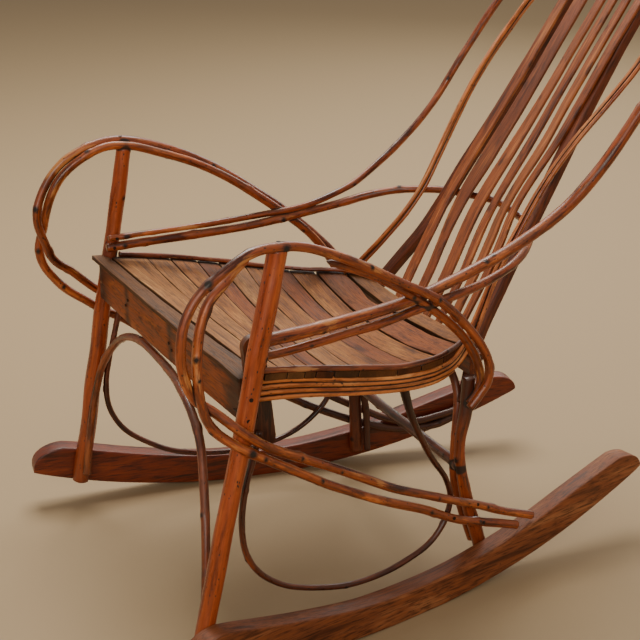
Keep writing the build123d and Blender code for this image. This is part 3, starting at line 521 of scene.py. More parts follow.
class Nodes:
    """A short way to write a material's nodes."""

    def __init__(self, name):
        self.mat = bpy.data.materials.new(name)
        self.mat.use_nodes = True
        self.tree = self.mat.node_tree
        self.tree.nodes.clear()
        self.out = self.tree.nodes.new("ShaderNodeOutputMaterial")
        self.bsdf = self.tree.nodes.new("ShaderNodeBsdfPrincipled")
        self.link(self.bsdf.outputs[0], self.out.inputs["Surface"])

    def link(self, a, b):
        self.tree.links.new(a, b)

    def new(self, kind, **kw):
        node = self.tree.nodes.new(kind)
        for k, v in kw.items():
            setattr(node, k, v)
        return node

    def feed(self, node, key, value):
        sock = node.inputs[key]
        if hasattr(value, "is_output"):
            self.link(value, sock)
        elif value is not None:
            sock.default_value = value

    def attr(self, name, vector=False):
        node = self.new("ShaderNodeAttribute", attribute_name=name)
        return node.outputs["Vector"] if vector else node.outputs["Fac"]

    def scaled(self, vec, sx, sy, sz, loc=(0, 0, 0)):
        node = self.new("ShaderNodeMapping")
        self.feed(node, "Vector", vec)
        node.inputs["Scale"].default_value = (sx, sy, sz)
        node.inputs["Location"].default_value = loc
        return node.outputs[0]

    def noise(self, vec, scale=1.0, detail=3.0, rough=0.55, distortion=0.0):
        node = self.new("ShaderNodeTexNoise")
        self.feed(node, "Vector", vec)
        node.inputs["Scale"].default_value = scale
        node.inputs["Detail"].default_value = detail
        node.inputs["Roughness"].default_value = rough
        node.inputs["Distortion"].default_value = distortion
        return node.outputs[0]

    def voronoi(self, vec, scale=1.0, feature="F1"):
        node = self.new("ShaderNodeTexVoronoi", feature=feature)
        self.feed(node, "Vector", vec)
        node.inputs["Scale"].default_value = scale
        return node.outputs["Distance"]

    def ramp(self, fac, stops, interpolation="LINEAR"):
        node = self.new("ShaderNodeValToRGB")
        node.color_ramp.interpolation = interpolation
        el = node.color_ramp.elements
        while len(el) > 1:
            el.remove(el[-1])
        el[0].position = stops[0][0]
        el[0].color = stops[0][1]
        for pos, col in stops[1:]:
            e = el.new(pos)
            e.color = col
        self.feed(node, "Fac", fac)
        return node.outputs["Color"]

    def span(self, fac, lo, hi, to_lo=0.0, to_hi=1.0, smooth=True):
        node = self.new("ShaderNodeMapRange", interpolation_type="SMOOTHSTEP" if smooth else "LINEAR")
        self.feed(node, "Value", fac)
        node.inputs["From Min"].default_value = lo
        node.inputs["From Max"].default_value = hi
        node.inputs["To Min"].default_value = to_lo
        node.inputs["To Max"].default_value = to_hi
        return node.outputs[0]

    def math(self, op, a, b=None, clamp=False):
        node = self.new("ShaderNodeMath", operation=op, use_clamp=clamp)
        self.feed(node, 0, a)
        if b is not None:
            self.feed(node, 1, b)
        return node.outputs[0]

    def mix(self, fac, a, b, blend="MIX"):
        node = self.new("ShaderNodeMix", data_type="RGBA", blend_type=blend)
        self.feed(node, 0, fac)
        self.feed(node, 6, a)
        self.feed(node, 7, b)
        return node.outputs[2]

    def bump(self, height, strength, distance, normal=None):
        node = self.new("ShaderNodeBump")
        node.inputs["Strength"].default_value = strength
        node.inputs["Distance"].default_value = distance
        self.feed(node, "Height", height)
        if normal is not None:
            self.feed(node, "Normal", normal)
        return node.outputs[0]


def darker(col, k):
    return (col[0] * k, col[1] * k * 0.92, col[2] * k * 0.85, 1)


def varnished(name, dark, mid, light, worn, patch=0.5, worn_level=0.62, dust_sheen=0.25, rough=0.36, coat=0.35, streak=1.0, dust_sheen_col=(150, 112, 90)):
    """Peeled twig under old varnish: streaks along the wood, dark patches,
    pale worn spots, black knots, painted shade in the crevices, and dust with a painted sheen on what faces up."""
    m = Nodes(name)
    tw = m.attr("tw", vector=True)
    knot = m.attr("knot")
    cut = m.attr("cut")
    stain = m.attr("stain")
    grime = m.attr("grime")
    pale = m.attr("pale")
    # Long, thin streaks along the twig.
    fine = m.noise(m.scaled(tw, 14, 420, 420), 1.0, 4.0, 0.6)
    long = m.noise(m.scaled(tw, 5, 110, 110, (3, 1, 2)), 1.0, 3.0, 0.55, 0.3)
    body = m.noise(m.scaled(tw, 13, 60, 60, (7, 4, 1)), 1.0, 4.0, 0.6)
    tone = m.math("ADD", m.math("MULTIPLY", long, 0.5), m.math("MULTIPLY", body, 0.5))
    col = m.ramp(tone, [(0.40, dark), (0.475, mid), (0.535, mid), (0.61, light)])
    grain = m.ramp(fine, [(0.34, (0.26, 0.20, 0.17, 1)), (0.46, (0.86, 0.82, 0.78, 1)), (0.54, (1, 1, 1, 1)), (0.68, (1.45, 1.32, 1.12, 1))])
    col = m.mix(0.9 * streak, col, grain, "MULTIPLY")
    # Patches where darker varnish or bark is left.
    blot = m.noise(m.scaled(tw, 17, 70, 70, (11, 5, 3)), 1.0, 5.0, 0.65)
    blot_mask = m.math("MULTIPLY", m.span(blot, 0.515, 0.60), patch)
    col = m.mix(blot_mask, col, darker(dark, 0.42))
    mottle = m.noise(m.scaled(tw, 55, 190, 190, (6, 2, 9)), 1.0, 3.0, 0.6)
    col = m.mix(m.span(mottle, 0.53, 0.64, 0.0, 0.55 * patch), col, darker(dark, 0.5))
    # Pale worn places, with ragged edges along the grain.
    rub = m.noise(m.scaled(tw, 14, 100, 100, (2, 9, 8)), 1.0, 5.0, 0.66)
    rub = m.math("ADD", rub, m.math("MULTIPLY", pale, 0.17))
    rub_mask = m.span(rub, worn_level, worn_level + 0.12, 0.0, 0.75)
    col = m.mix(rub_mask, col, worn)
    # Small dark specks.
    speck = m.voronoi(m.scaled(tw, 130, 240, 240, (5, 5, 5)), 1.0)
    speck_on = m.span(m.noise(m.scaled(tw, 60, 100, 100), 1.0, 1.0), 0.54, 0.64)
    speck_mask = m.math("MULTIPLY", m.span(speck, 0.16, 0.32, 0.9, 0.0), speck_on)
    col = m.mix(speck_mask, col, (0.010, 0.006, 0.004, 1))
    # Knots.
    ragged = m.math("ADD", knot, m.math("MULTIPLY", m.math("SUBTRACT", fine, 0.5), 0.40))
    halo = m.span(ragged, 0.06, 0.42, 0.0, 0.65)
    core = m.span(ragged, 0.38, 0.70, 0.0, 0.96)
    col = m.mix(halo, col, darker(dark, 0.40))
    col = m.mix(core, col, (0.008, 0.005, 0.004, 1))
    # Cut ends show end grain, darkened by handling.
    rings = m.noise(m.scaled(tw, 5, 700, 700), 1.0, 2.0)
    end = m.ramp(rings, [(0.35, darker(mid, 0.22)), (0.65, darker(worn, 0.45))])
    col = m.mix(m.span(cut, 0.4, 0.9), col, end)
    # Stained lengths, partly painted shadow, and painted shade with dirt in the crevices.
    dull = m.math("ADD", stain, m.math("MULTIPLY", m.math("SUBTRACT", body, 0.5), 0.5))
    col = m.mix(m.span(dull, 0.12, 0.9, 0.0, 0.86), col, darker(dark, 0.30))
    dirt_and_shade = m.math("ADD", grime, m.math("MULTIPLY", m.math("SUBTRACT", fine, 0.5), 0.5))
    col = m.mix(m.span(dirt_and_shade, 0.25, 0.85, 0.0, 0.93), col, (0.012, 0.007, 0.004, 1))
    # Dust and a painted sheen on top, which also dull the varnish.
    geo = m.new("ShaderNodeNewGeometry")
    sep = m.new("ShaderNodeSeparateXYZ")
    m.feed(sep, 0, geo.outputs["Normal"])
    up = m.span(sep.outputs["Z"], 0.35, 1.0)
    dust_and_sheen = m.math("MULTIPLY", m.math("MULTIPLY", up, dust_sheen), m.span(body, 0.38, 0.58, 0.15, 1.0))
    dust_and_sheen = m.math("MULTIPLY", dust_and_sheen, m.span(core, 0.0, 0.8, 1.0, 0.2))
    col = m.mix(dust_and_sheen, col, srgb(*dust_sheen_col))
    m.feed(m.bsdf, "Base Color", col)
    gloss = m.math("ADD", m.span(body, 0.38, 0.62, rough - 0.10, rough + 0.14), m.math("MULTIPLY", dust_and_sheen, 0.35))
    gloss = m.math("ADD", gloss, m.math("MULTIPLY", m.math("MAXIMUM", core, grime), 0.35), clamp=True)
    m.feed(m.bsdf, "Roughness", gloss)
    m.feed(m.bsdf, "Coat Weight", coat)
    m.feed(m.bsdf, "Coat Roughness", 0.24)
    m.feed(m.bsdf, "Specular IOR Level", 0.5)
    h = m.math("ADD", m.math("MULTIPLY", fine, 0.7), m.math("MULTIPLY", blot, 1.0))
    h = m.math("SUBTRACT", h, m.math("MULTIPLY", speck_mask, 0.6))
    m.feed(m.bsdf, "Normal", m.bump(h, 0.6, 0.0008))
    return m.mat


def sawn(name, dark, mid, light, scale=1.0, rough=0.5, dust_sheen=0.1, coat=0.1, variety=0.25, bumpy=1.0, blot=0.55, crack=0.5, dust_sheen_col=(150, 118, 92), spec=0.5):
    """Flat sawn or riven wood with grain along its length."""
    m = Nodes(name)
    tw = m.attr("tw", vector=True)
    cut = m.attr("cut")
    knot = m.attr("knot")
    stain = m.attr("stain")
    grime = m.attr("grime")
    warp = m.noise(m.scaled(tw, 4 * scale, 26 * scale, 26 * scale), 1.0, 2.0, 0.5)
    node = m.new("ShaderNodeVectorMath", operation="MULTIPLY_ADD")
    comb = m.new("ShaderNodeCombineXYZ")
    m.feed(comb, 1, m.math("MULTIPLY", m.math("SUBTRACT", warp, 0.5), 0.020))
    m.feed(node, 0, tw)
    node.inputs[1].default_value = (1, 1, 1)
    m.feed(node, 2, comb.outputs[0])
    bent = node.outputs[0]
    grain = m.noise(m.scaled(bent, 6 * scale, 330 * scale, 90 * scale), 1.0, 5.0, 0.62)
    pores = m.noise(m.scaled(bent, 40 * scale, 1100 * scale, 500 * scale), 1.0, 3.0, 0.6)
    broad = m.noise(m.scaled(tw, 7, 36, 36, (4, 4, 4)), 1.0, 3.0, 0.5)
    tone = m.math("ADD", m.math("MULTIPLY", grain, 0.55), m.math("MULTIPLY", broad, 0.45))
    col = m.ramp(tone, [(0.39, dark), (0.47, mid), (0.53, mid), (0.62, light)])
    fleck = m.ramp(pores, [(0.36, (0.30, 0.24, 0.20, 1)), (0.47, (0.95, 0.94, 0.93, 1)), (0.64, (1.30, 1.22, 1.10, 1))])
    col = m.mix(0.85, col, fleck, "MULTIPLY")
    # Each piece has a tone of its own, from the first number of its grain.
    whole = m.noise(m.scaled(tw, 0.9, 0, 0, (31, 7, 3)), 1.0, 1.0)
    col = m.mix(m.span(whole, 0.36, 0.50, variety, 0.0), col, darker(dark, 0.75))
    col = m.mix(m.span(whole, 0.52, 0.66, 0.0, variety * 0.6), col, light)
    # Stains and thin dark checks along the grain.
    spot = m.noise(m.scaled(tw, 22, 60, 60, (1, 8, 6)), 1.0, 4.0, 0.6)
    col = m.mix(m.span(spot, 0.56, 0.70, 0.0, blot), col, darker(dark, 0.45))
    check = m.noise(m.scaled(bent, 9 * scale, 520 * scale, 60 * scale, (9, 2, 5)), 1.0, 2.0, 0.5)
    check_mask = m.span(check, 0.66, 0.72, 0.0, crack)
    col = m.mix(check_mask, col, (0.016, 0.010, 0.007, 1))
    speck = m.voronoi(m.scaled(tw, 70, 90, 90, (5, 5, 5)), 1.0)
    speck_mask = m.math("MULTIPLY", m.span(speck, 0.05, 0.11, 0.85, 0.0), m.span(m.noise(m.scaled(tw, 25, 30, 30), 1.0, 1.0), 0.52, 0.60))
    col = m.mix(speck_mask, col, (0.020, 0.013, 0.010, 1))
    col = m.mix(m.span(knot, 0.3, 0.8, 0.0, 0.85), col, (0.012, 0.008, 0.006, 1))
    col = m.mix(m.span(cut, 0.4, 0.9, 0.0, 0.8), col, darker(mid, 0.42))
    # Stains, partly painted shade in the corners, then painted shade with dirt in the gaps, near black.
    dull = m.math("ADD", stain, m.math("MULTIPLY", m.math("SUBTRACT", broad, 0.5), 1.1))
    col = m.mix(m.span(dull, 0.15, 0.85, 0.0, 0.88), col, darker(dark, 0.30))
    dirt_and_shade = m.math("ADD", grime, m.math("MULTIPLY", m.math("SUBTRACT", grain, 0.5), 0.6))
    col = m.mix(m.span(dirt_and_shade, 0.2, 0.8, 0.0, 0.9), col, (0.016, 0.010, 0.007, 1))
    # Dust and a painted sheen on what faces up, paler and rougher.
    geo = m.new("ShaderNodeNewGeometry")
    sep = m.new("ShaderNodeSeparateXYZ")
    m.feed(sep, 0, geo.outputs["Normal"])
    up = m.span(sep.outputs["Z"], 0.3, 1.0)
    dust_and_sheen = m.math("MULTIPLY", m.math("MULTIPLY", up, dust_sheen), m.span(broad, 0.35, 0.6, 0.3, 1.0))
    col = m.mix(dust_and_sheen, col, srgb(*dust_sheen_col))
    m.feed(m.bsdf, "Base Color", col)
    m.feed(m.bsdf, "Roughness", m.math("ADD", m.span(grain, 0.3, 0.7, rough - 0.06, rough + 0.12), m.math("MULTIPLY", dust_and_sheen, 0.4), clamp=True))
    m.feed(m.bsdf, "Coat Weight", coat)
    m.feed(m.bsdf, "Coat Roughness", 0.35)
    m.feed(m.bsdf, "Specular IOR Level", spec)
    h = m.math("ADD", m.math("MULTIPLY", grain, 1.0), m.math("MULTIPLY", pores, 0.6))
    h = m.math("SUBTRACT", h, m.math("MULTIPLY", check_mask, 1.2))
    m.feed(m.bsdf, "Normal", m.bump(h, 0.6 * bumpy, 0.0007))
    return m.mat


def iron(name):
    m = Nodes(name)
    tc = m.new("ShaderNodeTexCoord")
    n = m.noise(m.scaled(tc.outputs["Object"], 900, 900, 900), 1.0, 4.0, 0.6)
    m.feed(m.bsdf, "Base Color", m.ramp(n, [(0.35, srgb(26, 22, 21)), (0.55, srgb(58, 46, 40)), (0.72, srgb(96, 58, 38))]))
    m.feed(m.bsdf, "Metallic", 0.6)
    m.feed(m.bsdf, "Roughness", m.span(n, 0.3, 0.7, 0.42, 0.75))
    m.feed(m.bsdf, "Normal", m.bump(n, 0.5, 0.0003))
    return m.mat


M_TWIG = varnished("twig_varnish", srgb(80, 31, 12), srgb(154, 72, 29), srgb(202, 110, 48), srgb(214, 142, 76), patch=0.55, worn_level=0.61, dust_sheen=0.34, dust_sheen_col=(140, 98, 74), rough=0.34, coat=0.4, streak=0.75)
M_SAPLING = varnished("sapling_varnish", srgb(124, 46, 13), srgb(172, 74, 24), srgb(196, 96, 36), srgb(214, 136, 66), patch=0.25, worn_level=0.66, dust_sheen=0.15, rough=0.36, streak=0.32)
M_LEG = varnished("leg_varnish", srgb(94, 36, 13), srgb(156, 70, 27), srgb(186, 94, 40), srgb(190, 122, 68), patch=0.45, worn_level=0.67, dust_sheen=0.15, rough=0.42, streak=0.7)
M_LIGHT = varnished("light_twig_varnish", srgb(140, 64, 24), srgb(206, 120, 56), srgb(238, 162, 92), srgb(232, 172, 108), patch=0.35, worn_level=0.60, dust_sheen=0.15, coat=0.45, rough=0.32, streak=0.8)
M_RIM = varnished("rim_twig_varnish", srgb(76, 30, 14), srgb(136, 66, 36), srgb(172, 96, 58), srgb(200, 140, 88), patch=0.45, worn_level=0.61, dust_sheen=0.30, streak=0.8)
# A darker copy of the twig varnish for the parts under the seat: partly darker varnish and dirt, partly painted shade.
M_DARK = varnished("dark_twig_varnish", srgb(42, 17, 9), srgb(92, 40, 19), srgb(136, 64, 30), srgb(152, 90, 50), patch=0.55, worn_level=0.67, dust_sheen=0.20, streak=0.8)
M_ARCH = varnished("arch_twig_varnish", srgb(70, 28, 10), srgb(138, 66, 27), srgb(178, 96, 42), srgb(196, 130, 74), patch=0.5, worn_level=0.64, dust_sheen=0.28, coat=0.45, streak=0.8)
M_SEAT = sawn("seat_slat_wood", srgb(84, 46, 18), srgb(142, 88, 42), srgb(182, 126, 68), rough=0.60, dust_sheen=0.0, coat=0.0, variety=0.18, spec=0.25, blot=0.45)
M_SEAT_PALE = sawn("pale_slat_wood", srgb(98, 60, 28), srgb(154, 103, 56), srgb(194, 144, 90), rough=0.60, dust_sheen=0.0, coat=0.0, variety=0.12, spec=0.25, blot=0.45)
M_SEAT_RED = sawn("red_slat_wood", srgb(78, 38, 16), srgb(138, 76, 36), srgb(172, 106, 56), rough=0.60, dust_sheen=0.0, coat=0.0, variety=0.15, spec=0.25, blot=0.6)
M_FIRST = sawn("first_slat_wood", srgb(56, 35, 20), srgb(106, 69, 40), srgb(144, 100, 64), rough=0.62, dust_sheen=0.08, coat=0.0, variety=0.1, blot=0.8, crack=0.85, dust_sheen_col=(140, 104, 72), spec=0.3)
M_RAIL = sawn("rail_wood", srgb(84, 33, 8), srgb(156, 74, 23), srgb(182, 100, 38), rough=0.50, dust_sheen=0.0, coat=0.08, blot=0.8, crack=0.45, spec=0.3)
M_ROCKER = sawn("rocker_wood", srgb(62, 20, 5), srgb(110, 39, 13), srgb(138, 58, 21), rough=0.40, dust_sheen=0.15, coat=0.12, scale=0.7, variety=0.1, blot=0.5, crack=0.25, dust_sheen_col=(120, 80, 50))
M_ROCKER_WORN = sawn("worn_rocker_wood", srgb(84, 42, 22), srgb(130, 72, 40), srgb(160, 102, 64), rough=0.5, dust_sheen=0.10, coat=0.05, scale=0.7, variety=0.1, blot=0.5, crack=0.3, dust_sheen_col=(150, 106, 72), spec=0.35)
M_BACK = sawn("back_slat_wood", srgb(80, 33, 11), srgb(142, 71, 28), srgb(192, 116, 58), rough=0.44, dust_sheen=0.03, coat=0.25, variety=0.45, blot=0.75)
M_STILE = sawn("stile_wood", srgb(50, 21, 8), srgb(102, 44, 16), srgb(140, 70, 29), rough=0.44, dust_sheen=0.03, coat=0.18, variety=0.2)
M_CLEAT = sawn("cleat_wood", srgb(46, 22, 12), srgb(84, 42, 22), srgb(120, 66, 36), rough=0.45, dust_sheen=0.12, coat=0.15, variety=0.1)
M_IRON = iron("nail_iron")

# -------------------------------------------------------------- the rockers
ROCKER_TOP = [(-352, 97), (-323, 91), (-287, 82), (-223, 67), (-124, 49.5), (-40, 45), (35, 47), (100, 55),
              (140, 61.5), (205, 77), (260, 93.5), (314, 109), (372, 125)]
ROCKER_TOE, ROCKER_MID_X, ROCKER_R, ROCKER_FLAT_Y = 0.186, 249.5, 1163.0, -42.0
STRETCH = math.sqrt(1 + ROCKER_TOE ** 2)


def rocker_arc(s):
    return ROCKER_R - math.sqrt(ROCKER_R ** 2 - (s - ROCKER_FLAT_Y) ** 2)


def rocker_low(s):
    front, rear = ROCKER_FLAT_Y - 35.0, ROCKER_FLAT_Y + 60.0
    if s < front:
        return rocker_arc(s) - rocker_arc(front)
    if s > rear:
        return rocker_arc(s) - rocker_arc(rear)
    return 0.0


def rocker_profile():
    """Stations (along, low, high) from the front tip to the rear tip."""
    top = catmull([(s * STRETCH, z, 0) for s, z in ROCKER_TOP], 10)
    rows = []
    tip0, tip1 = -401 * STRETCH, 419 * STRETCH
    head = top[0]
    # front rounding, from the tip up to the top edge
    for k in range(0, 9):
        a = k / 8
        s = tip0 + (head[0] - tip0) * (1 - math.cos(a * math.pi / 2)) ** 1.0
        z = 63.5 + (head[1] - 63.5) * math.sin(a * math.pi / 2) ** 0.9
        low = max(rocker_low(s), 0) if s > -394 * STRETCH else rocker_low(-394 * STRETCH) + (-394 * STRETCH - s) / (7 * STRETCH) * 3.0
        rows.append((s, low, max(z, low + 2.0)))
    for p in top[2::2]:
        rows.append((p[0], rocker_low(p[0]), p[1]))
    last_s, last_z = top[-1][0], top[-1][1]
    for k in range(1, 11):
        a = k / 10
        s = last_s + (tip1 - last_s) * math.sin(a * math.pi / 2)
        z = last_z + 0.8 * math.sin(a * math.pi) - (last_z - 100.5) * (1 - math.cos(a * math.pi / 2)) ** 1.1
        lo_end = 412 * STRETCH
        low = rocker_low(s) if s < lo_end else rocker_low(lo_end) + (s - lo_end) / (tip1 - lo_end) * (98.0 - rocker_low(lo_end))
        rows.append((s, low, max(z, low + 1.5)))
    out = [rows[0]]
    for r in rows[1:]:
        if r[0] > out[-1][0] + 0.6:
            out.append(r)
    return out


for side, word in ((1, "left"), (-1, "right")):
    along = unit([-side * ROCKER_TOE, 1, 0])
    across = unit([side * 1.0, ROCKER_TOE, 0])
    stations = []
    for s, lo, hi in rocker_profile():
        c = np.array([side * ROCKER_MID_X, 0, 0]) + along * s + np.array([0, 0, (lo + hi) / 2])
        stations.append((c, across, np.array([0, 0, 1.0]), 32.0, hi - lo))
    rings, at = bar(stations, 40 + side, r=2.6, across=4, tall=5, wave=0.0, edge=0.25)
    co = at["tw"]
    low = np.array([r[1] for r in rocker_profile()]) * MM
    mid = np.array([(r[1] + r[2]) / 2 for r in rocker_profile()]) * MM
    co[:, :, 2] += mid[:, None]
    v, f, a = rings_to_mesh(rings, at)
    put("rocker_board_" + word, mesh_from("rocker_board_" + word, to_frame(v), f, a), "rocker_" + word, M_ROCKER_WORN if word == "left" else M_ROCKER)

# ------------------------------------------------------------ posts and legs
# The dark tables darken lengths of the twigs: partly stain and dirt, partly painted shadow under the seat and under the
# twig bundle at the tops of the rear legs.
twig("front_post_pole_left", "front_post_left", "varnished_sapling", M_SAPLING, post_left_ends, 12.9, 12.6, 101, knots=7, wobble=0.7, sides=24, swell=0.03, knot_size=0.55, step=3.5, dark=[(0, 0), (0.45, 0.0), (0.7, 0.18), (1, 0.35)])
twig("front_post_pole_right", "front_post_right", "varnished_sapling", M_SAPLING, post_right_ends, 12.0, 12.8, 102, knots=7, wobble=0.7, sides=24, swell=0.03, knot_size=0.55, step=3.5, dark=[(0, 0), (0.2, 0.0), (0.33, 0.7), (0.42, 0.25), (0.75, 0.2), (1, 0.5)])
twig("rear_leg_pole_left", "rear_leg_left", "varnished_sapling", M_LEG, leg_left_run, 9.2, 10.6, 103, radii=[(0, 9.6), (0.2, 9.4), (0.34, 8.2), (0.46, 8.4), (0.62, 9.8), (1, 10.4)], knots=9, wobble=0.6, sides=20, swell=0.06, knot_size=0.7, dark=[(0, 1.0), (0.12, 0.95), (0.3, 0.3), (0.5, 0), (0.8, 0.2), (1, 0.6)])
twig("rear_leg_pole_right", "rear_leg_right", "varnished_sapling", M_LEG, leg_right_run, 10.0, 11.2, 104, knots=9, wobble=0.6, sides=20, swell=0.06, knot_size=0.7, dark=[(0, 1.0), (1, 0.55)])
twig("rung_pole", "rear_rung", "varnished_sapling", M_DARK, rung_ends, 7.6, 8.2, 105, knots=8, wobble=0.8, sides=18, swell=0.05, dark=[(0, 0.4), (0.6, 0.3), (1, 0.2)])

# ------------------------------------------------------------- looped arms
# The arm tails darken where they run under the seat: painted shade with some dirt.
tail = [(0, 0.5), (0.06, 0.1), (0.6, 0.0), (0.9, 0.1), (1, 0.2)]
far_tail = [(0, 0.5), (0.06, 0.1), (0.45, 0.0), (0.58, 0.35), (0.75, 0.7), (1, 0.9)]
twig("arm_rod_outer_left", "arm_loop_outer_left", "varnished_twig", M_TWIG, arm_outer_left_run, 6.4, 6.6, 201, knots=7, dark=tail,
     marks=[(0.154, 0.2, 0.9), (0.352, -0.5, 1.5), (0.431, 0.2, 1.6), (0.675, 0.1, 0.8), (0.866, 0.3, 0.7), (0.939, 0, 0.8)],
     pale=[(0.395, 26, 0.9), (0.524, 24, 0.9), (0.24, 22, 0.6), (0.78, 12, 1.0), (0.61, 20, 0.5)])
twig("arm_rod_inner_left", "arm_loop_inner_left", "varnished_twig", M_TWIG, arm_inner_left_run, 6.6, 6.4, 202, knots=8, point=(60, 0), dark=[(0, 0), (1, 0.2)],
     marks=[(0.172, 0.1, 1.1), (0.205, -0.3, 0.7), (0.365, 0.1, 1.5), (0.395, 0.1, 0.9), (0.796, 0.2, 0.9), (0.916, 0, 0.8)],
     pale=[(0.02, 20, 1.0), (0.07, 24, 0.6), (0.19, 34, 1.0), (0.334, 10, 1.0), (0.66, 12, 0.9)])
twig("arm_rod_rear_left", "arm_rear_rod_left", "varnished_twig", M_TWIG, arm_rear_left_run, 6.2, 6.0, 212, knots=8, point=(0, 22), dark=[(0, 0.5), (0.2, 0.1), (0.9, 0.1), (1, 0.8)],
     pale=[(0.12, 20, 0.7), (0.55, 30, 0.5)])
twig("arm_rod_outer_right", "arm_loop_outer_right", "varnished_twig", M_TWIG, arm_outer_right_run, 6.5, 6.5, 203, knots=8, dark=far_tail,
     marks=[(0.232, 0.2, 0.8), (0.44, 0.4, 1.2)], pale=[(0.392, 40, 0.9), (0.36, 30, 0.5)])
twig("arm_rod_inner_right", "arm_loop_inner_right", "varnished_twig", M_TWIG, arm_inner_right_run, 6.3, 6.4, 204, knots=8, dark=far_tail,
     marks=[(0.469, 0.2, 1.0)], pale=[(0.39, 30, 0.5)])
twig("stretcher_rod", "arm_stretcher", "varnished_twig", M_TWIG, stretcher_run, 5.8, 5.8, 205, radii=[(0, 6.3), (0.1, 6.7), (0.3, 6.2), (0.5, 5.6), (0.8, 6.8), (1, 6.0)],
     marks=[(0.02, 0.2, 1.0)], pale=[(0.2, 30, 0.4)])
twig("hoop_rod", "back_hoop", "varnished_twig", M_TWIG, hoop_run, 6.0, 9.0, 206, knots=7, radii=[(0, 4.5), (0.05, 4.7), (0.12, 5.0), (0.3, 6.2), (0.5, 7.6), (0.7, 8.6), (1, 8.8)],
     marks=[(0.012, 0.3, 1.3), (0.847, 0.2, 0.8)], pale=[(0.05, 22, 1.0), (0.955, 24, 1.0), (0.90, 26, 0.5)])
twig("front_arch_rod", "front_arch", "dark_twig", M_ARCH, front_arch_run, 6.3, 5.9, 207, knots=9, dark=[(0, 0.4), (0.1, 0.1), (1, 0.3)])
twig("rear_arch_rod", "rear_arch", "dark_twig", M_LEG, rear_arch_run, 5.5, 5.8, 208, dark=[(0, 0.9), (0.6, 0.9), (0.72, 0.5), (0.8, 0.15), (1, 0.2)])
twig("side_bow_rod_left", "side_bow_left", "dark_twig", M_DARK, side_bow_left_run, 5.0, 5.2, 209, radii=[(0, 4.6), (0.8, 4.5), (0.9, 5.0), (1, 6.4)], dark=[(0, 0.0), (0.3, 0.0), (0.8, 0.2), (1, 0.9)])
twig("side_bow_rod_right", "side_bow_right", "dark_twig", M_DARK, side_bow_right_run, 4.6, 4.6, 210)
twig("rim_rod_left", "seat_rim_twig_left", "light_twig", M_RIM, rim_left_run, 4.0, 3.7, 211, knots=12, pale=[(0.16, 14, 1.0), (0.30, 16, 0.8), (0.6, 20, 0.5)])
twig("rim_rod_right", "seat_rim_twig_right", "light_twig", M_RIM, rim_right_run, 3.8, 3.3, 213, knots=12, pale=[(0.35, 10, 0.9)])


def beside(points, down, out):
    moved = []
    last = len(points) - 1
    for i, p in enumerate(points):
        a = np.array(points[max(i - 1, 0)], float)
        b = np.array(points[min(i + 1, last)], float)
        t = unit(b - a)
        n = unit(np.array([0, 0, -1.0]) + t[2] * t)
        s = np.cross(t, n)
        moved.append(tuple(np.array(p) + down[i] * n + out[i] * s))
    return moved


def twig_runs(side):
    count = len(side_twig_run)
    runs = []
    bend = [0.0] * 8 + [0.2, 0.55, 0.85] + [1.0] * (count - 11)
    crown = [0.0] * (count - 6) + [0.15, 0.4, 0.75, 1.0, 1.0, 1.0]
    pitch = [7.9, 7.9, 7.5, 6.9, 6.5] + [TWIG_PITCH] * (count - 5)
    drop = 0.0 if side > 0 else 17.0
    down = [[c * drop for c in crown]]
    down.append([d + q for d, q in zip(down[0], pitch)])
    # Past the rear corner the third twig rolls round the second, to lie
    # behind the pair.
    roll = [math.radians(120 * f) for f in bend]
    lead = [q * (1 + 0.035 * math.sin(math.pi * f)) for q, f in zip(pitch, bend)]
    down.append([d + q * math.cos(a) for d, q, a in zip(down[1], lead, roll)])
    down.append([3 * q for q in pitch])
    out = [[0.0] * count, [0.0] * count, [-q * math.sin(a) for q, a in zip(lead, roll)], [0.0] * count]
    runs = [beside(side_twig_run, down[k], out[k]) for k in range(3)]
    runs = [run + [(-45, run[-1][1] - 1, run[-1][2] - 2)] for run in runs]
    runs.append(beside(side_twig_run[:9], down[3][:9], out[3][:9]))
    if side < 0:
        runs = [[(-x, y, z) for x, y, z in run] for run in runs]
    return runs


for side, word in ((1, "left"), (-1, "right")):
    for number, run in enumerate(twig_runs(side), start=1):
        twig(f"side_rod_{word}_{number}", f"side_twig_{word}_{number}", "light_twig", M_LIGHT, run, 3.8, 3.2, 300 + number + 10 * side, knots=10, wobble=0.25, sides=12, knot_size=0.8,
             radii=[(0, 4.0), (0.12, 3.8), (0.26, 3.35), (0.4, 3.3), (1, 3.3)] if number < 4 else [(0, 4.0), (0.4, 3.8), (0.8, 3.3), (1, 3.1)],
             dark=[(0, 0.3), (0.03, 0), (1, 0)] if side > 0 else [(0, 0.4), (1, 0.15)])

make_twigs()

# -------------------------------------------------------------------- seat
def slat_edges():
    """For each slat, its front and its rear edge as (y at the middle, slope)."""
    edges = []
    front = (SEAT_FRONT, 0.0)
    for y, slope, gap in SEAMS:
        edges.append((front, (y - gap / 2, slope)))
        front = (y + gap / 2, slope)
    edges.append((front, (SEAT_BACK, 0.0)))
    return edges


def edge_point(edge, t, i):
    """The top of the seat at the part t of the way across, on an edge."""
    y = edge[0]
    for _ in range(8):
        y = edge[0] + edge[1] * t * table(SEAT_HALF, y)
    return y, table(SLAT_TOPS, y) - (1.5 if i == 0 else table(DISH, y)) * (1 - t * t)


